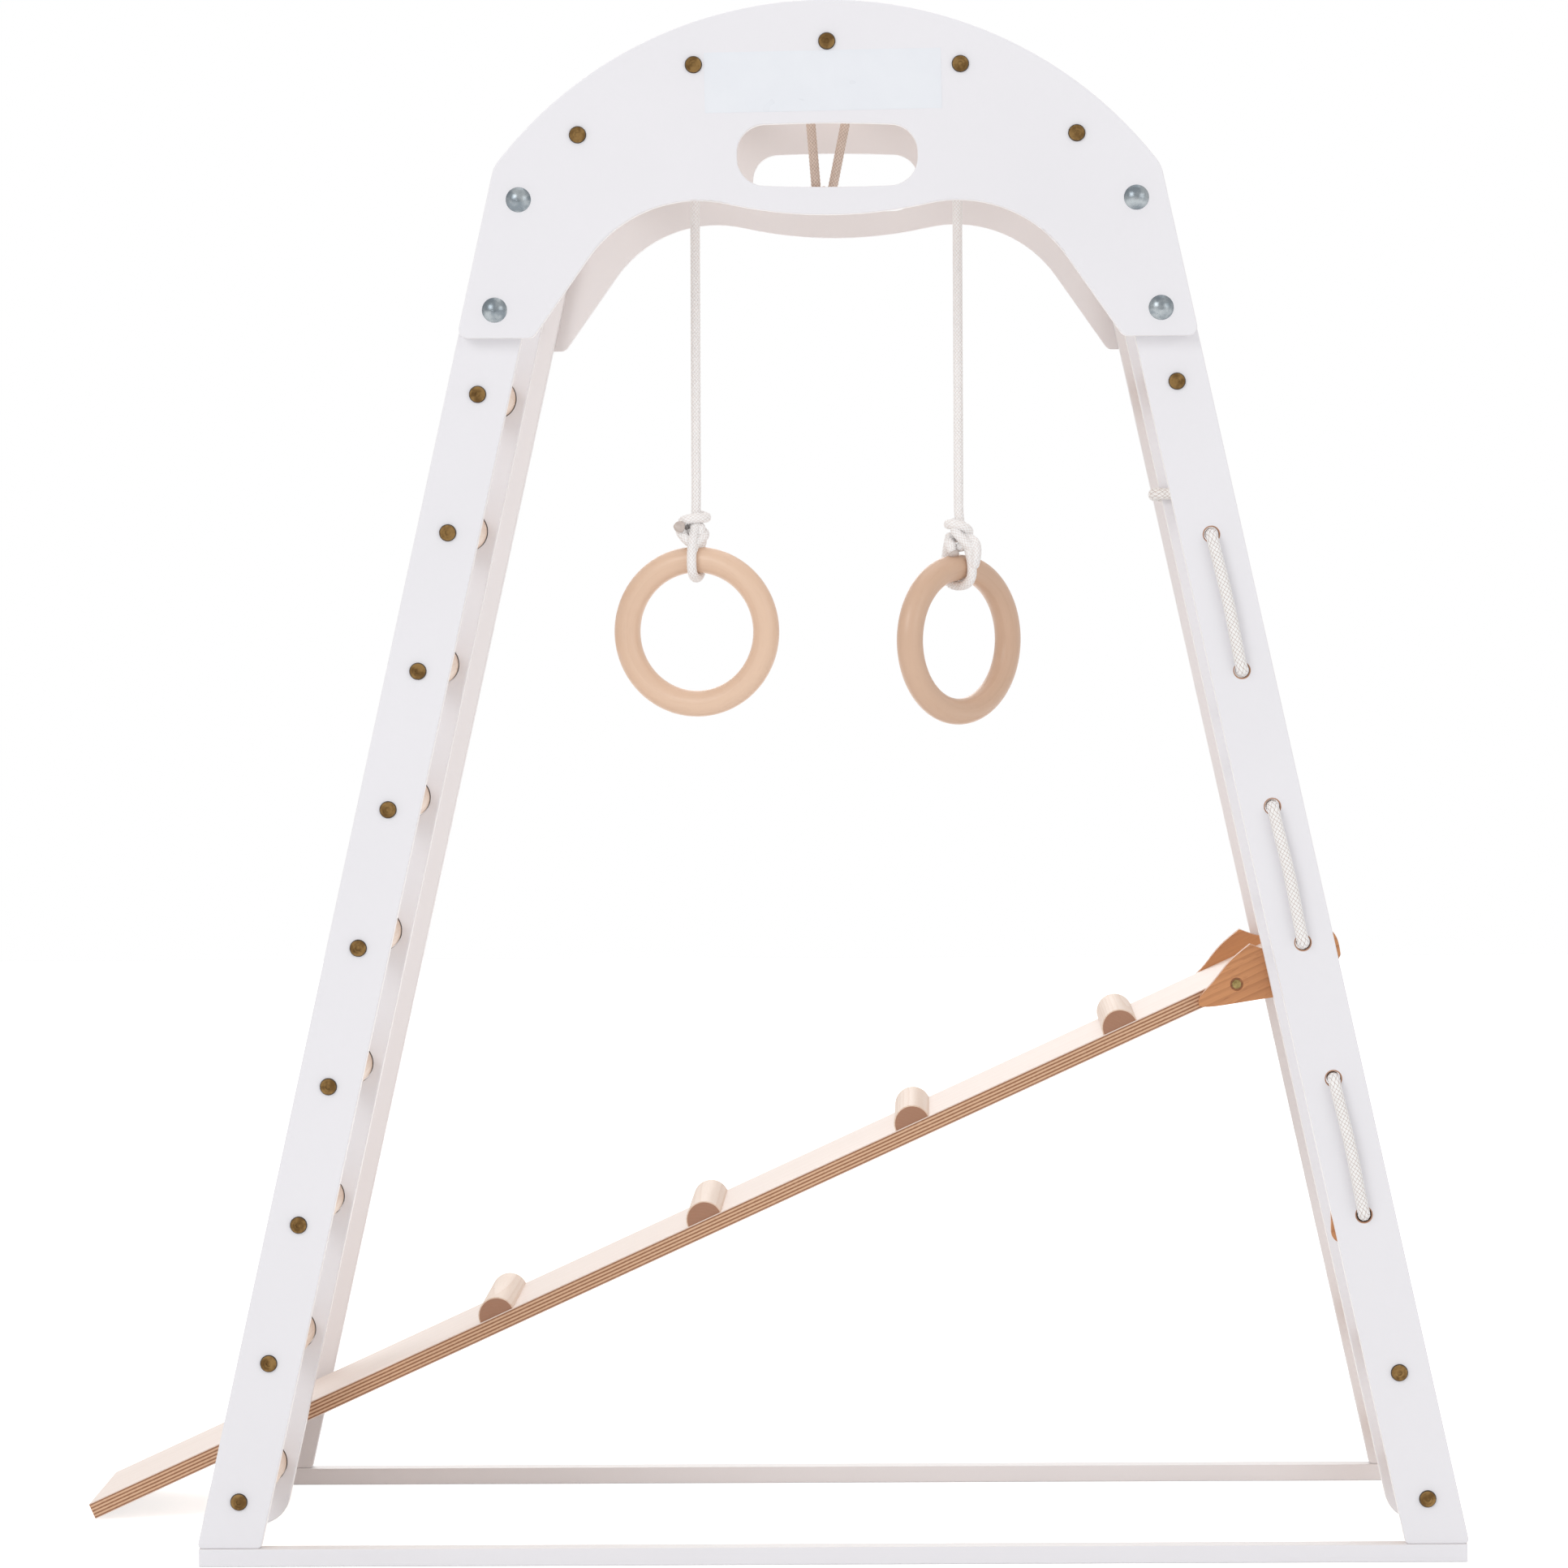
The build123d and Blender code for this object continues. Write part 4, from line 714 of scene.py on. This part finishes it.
def ring_piece(name, node, body, centre, turn, finish):
    """Points are centre + (R + r cos v) towards u round the ring + r sin v along its axis."""
    grid = (RING_STEPS, SECTION_STEPS)
    tangent = np.array([cos(radians(turn)), sin(radians(turn)), 0])
    axis = np.array([sin(radians(turn)), -cos(radians(turn)), 0])
    up = np.array([0, 0, 1.0])
    round_ring = np.linspace(0, 2 * pi, RING_STEPS, endpoint=False)[:, None]
    round_section = np.linspace(0, 2 * pi, SECTION_STEPS, endpoint=False)[None, :]
    outward = np.cos(round_ring)[..., None] * tangent + np.sin(round_ring)[..., None] * up
    r = RING_SECTION / 2
    reach = RING_RADIUS + r * np.cos(round_section)
    lift = r * np.sin(round_section)
    points = np.array(at(*centre)) + MM * (reach[..., None] * outward + lift[..., None] * axis)
    row = np.arange(RING_STEPS)[:, None]
    column = np.arange(SECTION_STEPS)[None, :]
    this_row = row * SECTION_STEPS
    next_row = (row + 1) % RING_STEPS * SECTION_STEPS
    next_column = (column + 1) % SECTION_STEPS
    corners = (this_row + column, next_row + column, next_row + next_column, this_row + next_column)
    quads = np.stack(corners, axis=-1).reshape(-1, 4).tolist()
    made = mesh_object(name, points.reshape(-1, 3), quads, finish)
    across = np.broadcast_to(r * np.cos(round_section), grid) - GROWTH_CENTRE[0]
    through = np.broadcast_to(lift, grid) - GROWTH_CENTRE[1]
    along = np.broadcast_to(RING_RADIUS * np.abs(pi - round_ring), grid)
    place = made.data.attributes.new("wood place", "FLOAT_VECTOR", "POINT")
    vectors = MM * np.stack([across, through, along], -1)
    place.data.foreach_set("vector", vectors.astype(np.float32).ravel())
    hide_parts(node)
    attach(made, body)
    return made


# Ring ropes: the routes of the solid ropes, point by point

ROPE = 8.0
END_SWELL = 1.16
END_LENGTH = 4.2
RING_ROPE_Y = -150.0
BAR_KNOT_DROP = 50.0
RING_KNOT_RISE = 31.0
TAIL_SHIFT = 9.6
ROPE_TO_BAR = BAR_RADIUS + ROPE / 2 + LOOSE_GAP
ROPE_TO_RING = RING_SECTION / 2 + ROPE / 2 + LOOSE_GAP
LEFT = {"bar": (-115.0, 1294.0), "shift": -4.0, "height": 803.0, "turn": -14.0}
RIGHT = {"bar": (115.0, 1294.0), "shift": -2.6, "height": 795.0, "turn": 47.0}


def ring_rope_route(bar, shift, height, turn):
    """From the knot under the bar over the bar, down to the ring, round it and up to its knot."""
    bar_x, bar_z = bar
    x = bar_x + shift
    y = RING_ROPE_Y
    top = height + RING_RADIUS
    knot_z = bar_z - BAR_KNOT_DROP
    ring_knot_z = top + RING_KNOT_RISE

    def off(reach, rise):
        return (x + sin(radians(turn)) * reach, y - cos(radians(turn)) * reach, top + rise)

    points = [
        (x + TAIL_SHIFT, y, knot_z),
        (bar_x + ROPE_TO_BAR, y, bar_z - 0.6 * BAR_RADIUS),
        (bar_x + ROPE_TO_BAR, y, bar_z + ROPE_TO_BAR),
        (bar_x - ROPE_TO_BAR, y, bar_z + ROPE_TO_BAR),
        (bar_x - ROPE_TO_BAR, y, bar_z - 0.6 * BAR_RADIUS),
        (x, y, knot_z),
        (x, y, knot_z - 6 * ROPE),
        (x, y, ring_knot_z + 6 * ROPE),
        (x, y, ring_knot_z + ROPE / 2),
        off(ROPE_TO_RING, 0.5 * RING_SECTION),
        off(ROPE_TO_RING, -ROPE_TO_RING),
        off(-ROPE_TO_RING, -ROPE_TO_RING),
        off(-ROPE_TO_RING, 0.5 * RING_SECTION),
        off(-TAIL_SHIFT, RING_KNOT_RISE),
    ]
    return [at(*point) for point in points]


def knot_at(name, body, node, centre, strands, tail=None, finish=white_rope):
    """Knot tied in the rope, its strands and tail given in millimetres from its centre.

    Only the tail has a free end."""
    pieces = []
    for number, strand in enumerate(strands, start=1):
        line = route_line([at(centre[0] + dx, centre[1] + dy, centre[2] + dz) for dx, dy, dz in strand])
        made, line = rope_tube(f"{name}_{number}", line, ROPE * MM, finish=finish)
        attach(made, body)
        pieces.append(made)
        if tail == number:
            way = line[-1] - line[-5]
            cap = end_cap(f"{name}_tail_end", line[-3], way, ROPE * MM * END_SWELL, END_LENGTH * MM)
            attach(cap, body)
            pieces.append(cap)
    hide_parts(node)
    return pieces


# Each knot's strands, from the first bend to the last, seen from the front: x right, y away, z up

LEFT_RING_KNOT = [
    [
        (0, 2, 9), (5, 5, 8), (9.5, 1, 6.5), (8, -6, 5.5), (1, -9.5, 6), (-7, -9, 5),
        (-12.5, -4, 3), (-11, 4, 0), (-4, 8.5, -3), (4, 7, -5), (8, 1, -8), (6, -5, -12),
        (1, -8, -15), (-2.5, -11, -20), (-3.5, -14, -26),
    ],
    [(-3, 7, -16), (-9, 5, -13), (-13.5, 0, -8), (-14.5, -6, -3.5), (-14.5, -12, -2)],
    [
        (-13, -5, -3), (-13, -7, -8), (-9, -8, -13), (-4, -6, -17), (1, -3, -19), (5, 0, -17),
        (5, 3, -12), (0, 6, -9),
    ],
    [(-6, 3, 2), (0, -2, 0), (5, -3, -3), (2, -4, -9), (-5, -3, -9), (-8, 0, -5)],
]
RIGHT_RING_KNOT = [
    [
        (0, 3, 10), (-5, 5, 8), (-9.5, 0, 7), (-8, -7, 7.5), (-1, -9.5, 7.5), (6, -8, 4.5),
        (9.5, -2, 1), (7, 5, -2), (0, 8, -4), (-6, 5, -6), (-8.5, -1, -8), (-7, -7, -10.5),
        (-4, -8, -14),
    ],
    [
        (-5, -4, 4), (-2, -9, 0), (3, -11, -6), (9, -10.5, -12), (14, -8, -16), (16, -3, -13),
        (14, 2, -8), (8, 5, -6), (2, 4, -9),
    ],
    [(4, -2, -3), (10, -5, -5), (15, -9, -9), (16, -12, -16), (15, -13.5, -24), (13, -12, -32)],
    [(-7, 2, -5), (-9.5, -3, -9), (-6.5, -8, -15), (-4.5, -9.5, -19)],
    [(-3, 0, 2), (2, -3, -2), (6, -4, -8), (2, -4, -14), (-3, -2, -12)],
]
BAR_KNOT = [
    [
        (9.6, 0, 14), (9, -5, 6), (2, -9.5, 3), (-8, -6, 1), (-10, 3, -1), (-2, 9.5, -3),
        (8, 7, -5), (10.5, -2, -7), (3, -9.5, -9), (-7, -6, -11), (-9, 3, -12), (0, 9, -13),
        (8, 5, -17), (10, 2, -24),
    ],
]


def ring_set(side, bar, shift, height, turn, ring_knot, tail):
    """A ring, its rope and both of the rope's knots."""
    body = f"{side}_rope"
    top = height + RING_RADIUS
    x = bar[0] + shift
    line = route_line(ring_rope_route(bar, shift, height, turn))
    rope, line = rope_tube(f"{side}_braided_rope", line, ROPE * MM)
    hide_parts(f"{side}_ring_rope")
    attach(rope, body)
    knots = knot_at(f"{side}_ring_knot_tied", body, f"{side}_ring_knot",
                    (x, RING_ROPE_Y, top + RING_KNOT_RISE), ring_knot, tail)
    knots += knot_at(f"{side}_bar_knot_tied", body, f"{side}_bar_knot",
                     (x, RING_ROPE_Y, bar[1] - BAR_KNOT_DROP), BAR_KNOT, 1)
    ring_piece(f"{side}_bent_ring", f"{side}_ring", f"{side}_ring_body", (x, RING_ROPE_Y, height), turn,
               ring_material(side))


ring_set("left", **LEFT, ring_knot=LEFT_RING_KNOT, tail=2)
ring_set("right", **RIGHT, ring_knot=RIGHT_RING_KNOT, tail=4)

# Sling over the middle bar: both strands run from the knot at its foot

SLING_BAR = 1314.0
SLING_FOOT = 1190.5
SLING_LEAN = 3.4
SLING_ROUTE = [
    (-6, 0, SLING_FOOT - 2),
    (-7.5, 0, SLING_FOOT + 10),
    (-ROPE_TO_BAR, 0, SLING_BAR - 8),
    (-ROPE_TO_BAR, 0, SLING_BAR + ROPE_TO_BAR),
    (ROPE_TO_BAR, 0, SLING_BAR + ROPE_TO_BAR),
    (ROPE_TO_BAR, 0, SLING_BAR - 8),
    (7.5, 0, SLING_FOOT + 10),
    (6, 0, SLING_FOOT - 4),
    (-2, 0, SLING_FOOT - 6),
]


def leaned(x, y, z):
    """The same point after the sling has leaned over about its bar."""
    lean = radians(SLING_LEAN)
    rise = z - SLING_BAR
    return (x * cos(lean) + rise * sin(lean), y, SLING_BAR + rise * cos(lean) - x * sin(lean))


SLING_KNOT = [
    [
        (3, 0, 8), (8, 4, 5), (10, -3, 2), (2, -9, 4), (-7, -6, 6), (-9, 3, 3), (0, 9, -1),
        (8, 5, -4), (7, -5, -6), (-2, -9, -5), (-9, -4, -4), (-10, 4, -2), (-5, 8, 4),
    ],
]
sling_line = route_line([at(*leaned(*point)) for point in SLING_ROUTE])
# The sling and its knot take the braid's painted-shade copy.
sling, sling_line = rope_tube("sling_braided_rope", sling_line, ROPE * MM, finish=shaded_rope)
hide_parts("centre_rope_loop")
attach(sling, "sling")
sling_place = leaned(-6.0, 0.0, SLING_FOOT)
sling_knots = knot_at("sling_knot_tied", "sling", "centre_rope_knot", sling_place, SLING_KNOT,
                      finish=shaded_rope)

# Side rope: tied round the middle board, then laced through both boards

SIDE_ROPE = 10.0
SIDE_GAP = 0.6
WRAP_HEIGHT = 923.0
WRAP_DROP = 11.5
HALF_POST_LEVEL = POST_WIDTH / 2 / cos(radians(POST_LEAN))
WRAP_SIDE = HALF_POST_LEVEL + (SIDE_ROPE / 2 + SIDE_GAP) / cos(radians(POST_LEAN))
WRAP_FACE = MIDDLE_FACE + SIDE_ROPE / 2 + SIDE_GAP
ROPE_OUT = POST_FACE + SIDE_ROPE / 2 + SIDE_GAP
HOLE_STEP = HOLE_PITCH * cos(radians(POST_LEAN))
HOLE_HEIGHTS = [LAST_HOLE + HOLE_STEP * step for step in reversed(range(HOLE_COUNT))]
MIDDLE_HOLE_REACH = 20.0
LOWER_PAIR_RISE = 72.0
MIDDLE_HOLES = []
for upper, rise in ((1, 0.0), (3, LOWER_PAIR_RISE)):
    between = (HOLE_HEIGHTS[upper] + HOLE_HEIGHTS[upper + 1]) / 2 + rise
    MIDDLE_HOLES += [between + MIDDLE_HOLE_REACH, between - MIDDLE_HOLE_REACH]
TURN_LEAD = 13.0
FRONT_BOW = (1.5, -1.0)


def wrap_point(side, y, height):
    """Beside the middle board: side runs from -1 at its inner edge to 1 at its outer one."""
    return (centre_x(height) + side * WRAP_SIDE, y, height)


def on_front(number, along):
    """On the rope's run over the front post, this far along the post from the hole, up if positive."""
    height = HOLE_HEIGHTS[number] + along * cos(radians(POST_LEAN))
    return (centre_x(height), -ROPE_OUT, height)


def in_front_hole(number):
    """From the front post's face through its hole to the far face."""
    height = HOLE_HEIGHTS[number]
    return [
        (centre_x(height), -ROPE_OUT + TURN_LEAD, height),
        (centre_x(height), -POST_INNER + 6, height),
    ]


def through_middle(first, second):
    """In through one hole of the middle board, down its far face and out through the next."""
    points = []
    for height, down in ((MIDDLE_HOLES[first], 1), (MIDDLE_HOLES[second], -1)):
        run = height - down * TURN_LEAD
        stop = [
            (centre_x(height), -MIDDLE_FACE - 6, height),
            (centre_x(height), WRAP_FACE - TURN_LEAD, height),
            (centre_x(height), WRAP_FACE, height),
            (centre_x(run), WRAP_FACE, run),
        ]
        points += stop if down > 0 else stop[::-1]
    return points


def over_front(upper):
    """Out of one front hole, down the post's face and into the next."""
    lower = upper + 1
    halfway = (HOLE_HEIGHTS[upper] + HOLE_HEIGHTS[lower]) / 2
    bow = (centre_x(halfway) + FRONT_BOW[0], -ROPE_OUT + FRONT_BOW[1], halfway)
    return [
        *in_front_hole(upper)[::-1],
        on_front(upper, 0),
        on_front(upper, -TURN_LEAD),
        bow,
        on_front(lower, TURN_LEAD),
        on_front(lower, 0),
        *in_front_hole(lower),
    ]


END_HEIGHT = WRAP_HEIGHT - WRAP_DROP
SIDE_ROUTE = [
    wrap_point(0, -WRAP_FACE, WRAP_HEIGHT),
    wrap_point(-0.62, -WRAP_FACE, WRAP_HEIGHT),
    wrap_point(-1, -WRAP_FACE, WRAP_HEIGHT),
    wrap_point(-1, -WRAP_FACE + TURN_LEAD, WRAP_HEIGHT - 0.5),
    wrap_point(-1, WRAP_FACE - TURN_LEAD, WRAP_HEIGHT - 1.0),
    wrap_point(-1, WRAP_FACE, WRAP_HEIGHT - 1.2),
    wrap_point(-0.62, WRAP_FACE, WRAP_HEIGHT - 2.5),
    wrap_point(0.62, WRAP_FACE, END_HEIGHT + 2.5),
    wrap_point(1, WRAP_FACE, END_HEIGHT + 1.2),
    wrap_point(1, WRAP_FACE - TURN_LEAD, END_HEIGHT + 0.8),
    wrap_point(1, -WRAP_FACE + TURN_LEAD, END_HEIGHT + 0.4),
    wrap_point(1, -WRAP_FACE, END_HEIGHT),
    wrap_point(0.62, -WRAP_FACE, END_HEIGHT),
    wrap_point(0.2, -WRAP_FACE - SIDE_GAP, END_HEIGHT),
    wrap_point(0.17, -WRAP_FACE - 2 * TURN_LEAD, END_HEIGHT - 3),
    *over_front(0),
    *through_middle(0, 1),
    *over_front(2),
    *through_middle(2, 3),
    *over_front(4),
    (centre_x(HOLE_HEIGHTS[5]), -POST_INNER + 22, HOLE_HEIGHTS[5]),
]
side_line = route_line([at(*point) for point in SIDE_ROUTE])
side_rope, side_line = rope_tube(
    "side_braided_rope", side_line, SIDE_ROPE * MM, laced_rope, per_cell=4, sides=32
)
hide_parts("side_rope")
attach(side_rope, "frame")

# Finishes of the solids that stay

for name, piece in NODES.items():
    number = int(name[-1]) if name[-1].isdigit() else 0
    if name == "middle_left_board":
        finish = rung_board_paint
    elif name == "front_right_post":
        finish = rope_post_paint
    elif name in ("front_arch", "front_left_post", "front_rail"):
        finish = front_paint
    elif name in ("back_arch", "back_left_post", "back_right_post", "back_rail"):
        finish = back_paint
    elif name == "middle_right_board":
        finish = middle_paint
    elif name.startswith(("ladder_rung", "right_bar_", "arch_bar", "hook_bar")):
        finish = bar_material(name, number + 10 * name.startswith("right") + 20 * name.startswith("arch"))
    elif name == "ramp_board":
        finish = birch_ply
    elif name.startswith("ramp_rib"):
        finish = rib_material(name, number)
    elif name in ("near_hook", "far_hook", "rope_toggle"):
        finish = hook_wood
    elif name == "connector_bolts":
        finish = antique_brass
    elif name in ("hook_screws", "rib_screws"):
        finish = yellow_zinc
    elif name == "label_plate":
        finish = blank_label
    elif "knot" in name or "rope" in name or name.endswith("_ring"):
        finish = white_rope
    else:
        finish = zinc
    piece.data.materials.clear()
    piece.data.materials.append(finish)

# Camera: the photograph's, 7 m in front of the front arch, shifted and not tilted

CAMERA_X = 88.6
CAMERA_Y = -7320.0
CAMERA_Z = 917.0
CAMERA_ROLL = 0.24
FOCAL_LENGTH = 186.61
SHIFT_X = -0.0941
SHIFT_Y = -0.1802

eye = bpy.data.cameras.new("camera")
eye.lens = FOCAL_LENGTH
eye.sensor_width = 36.0
eye.sensor_fit = "HORIZONTAL"
eye.shift_x = SHIFT_X
eye.shift_y = SHIFT_Y
eye.clip_start = 0.1
eye.clip_end = 50.0
camera = bpy.data.objects.new("camera", eye)
bpy.context.scene.collection.objects.link(camera)
camera.location = at(CAMERA_X, CAMERA_Y, CAMERA_Z)
upright = Matrix.Rotation(radians(90), 4, "X")
camera.rotation_euler = (upright @ Matrix.Rotation(radians(-CAMERA_ROLL), 4, "Z")).to_euler()
bpy.context.scene.camera = camera

# Floor, light and background

FLOOR_REACH = 9.0
FLOOR_DROP = 0.0005
LIT_POINT = (0.05, 0, 0.7)


def floor_piece():
    """Flat square under the frame, white where the camera and reflections see it, with soft shadows."""
    finish, tree, shader = material("floor_white", roughness=0.8)
    path = tree.add("ShaderNodeLightPath")
    place = object_place(tree)
    cloud = tree.noise(place, 2.0, 2.0)
    tree.feed(shader, "Base Color", tree.mix(cloud, (0.90, 0.90, 0.90, 1), (0.92, 0.92, 0.92, 1)))
    glow = tree.math("MAXIMUM", path.outputs["Is Camera Ray"], path.outputs["Is Glossy Ray"])
    tree.feed(shader, "Emission Color", (1, 1, 1, 1))
    tree.feed(shader, "Emission Strength", tree.math("MULTIPLY", glow, 0.66))
    across = np.array([-1, 1, 1, -1]) * FLOOR_REACH
    away = np.array([-1, -1, 1, 1]) * FLOOR_REACH
    points = np.stack([across, away, np.full(4, -FLOOR_DROP)], axis=1)
    mesh_object("floor", points, [[0, 1, 2, 3]], finish)


floor_piece()

world = bpy.data.worlds.new("studio")
bpy.context.scene.world = world
world.use_nodes = True
sky = Tree(world.node_tree)
world.node_tree.nodes.clear()
path = sky.add("ShaderNodeLightPath")
seen = sky.math("MAXIMUM", path.outputs["Is Camera Ray"], path.outputs["Is Transmission Ray"])
seen = sky.math("MAXIMUM", seen, path.outputs["Is Glossy Ray"])
ambient = sky.add("ShaderNodeBackground", Color=(1.0, 0.992, 0.988, 1), Strength=0.70)
backdrop = sky.add("ShaderNodeBackground", Color=(1, 1, 1, 1), Strength=1.0)
chosen = sky.add("ShaderNodeMixShader")
sky.feed(chosen, 0, seen)
sky.feed(chosen, 1, ambient.outputs[0])
sky.feed(chosen, 2, backdrop.outputs[0])
shown = sky.add("ShaderNodeOutputWorld")
world.node_tree.links.new(chosen.outputs[0], shown.inputs[0])


def softbox(name, place, size, power):
    """Square lamp turned towards the frame."""
    light = bpy.data.lights.new(name, "AREA")
    light.shape = "SQUARE"
    light.size = size
    light.energy = power
    made = bpy.data.objects.new(name, light)
    bpy.context.scene.collection.objects.link(made)
    made.location = place
    made.rotation_euler = (Vector(LIT_POINT) - Vector(place)).to_track_quat("-Z", "Y").to_euler()


softbox("front_left_softbox", (-2.6, -4.2, 3.0), 2.2, 52)
softbox("front_right_softbox", (3.2, -3.6, 2.0), 2.4, 22)
softbox("top_softbox", (0.2, 0.6, 3.8), 2.6, 26)
softbox("back_softbox", (-0.8, 4.0, 2.6), 2.4, 26)

bpy.context.scene.view_settings.view_transform = "Standard"
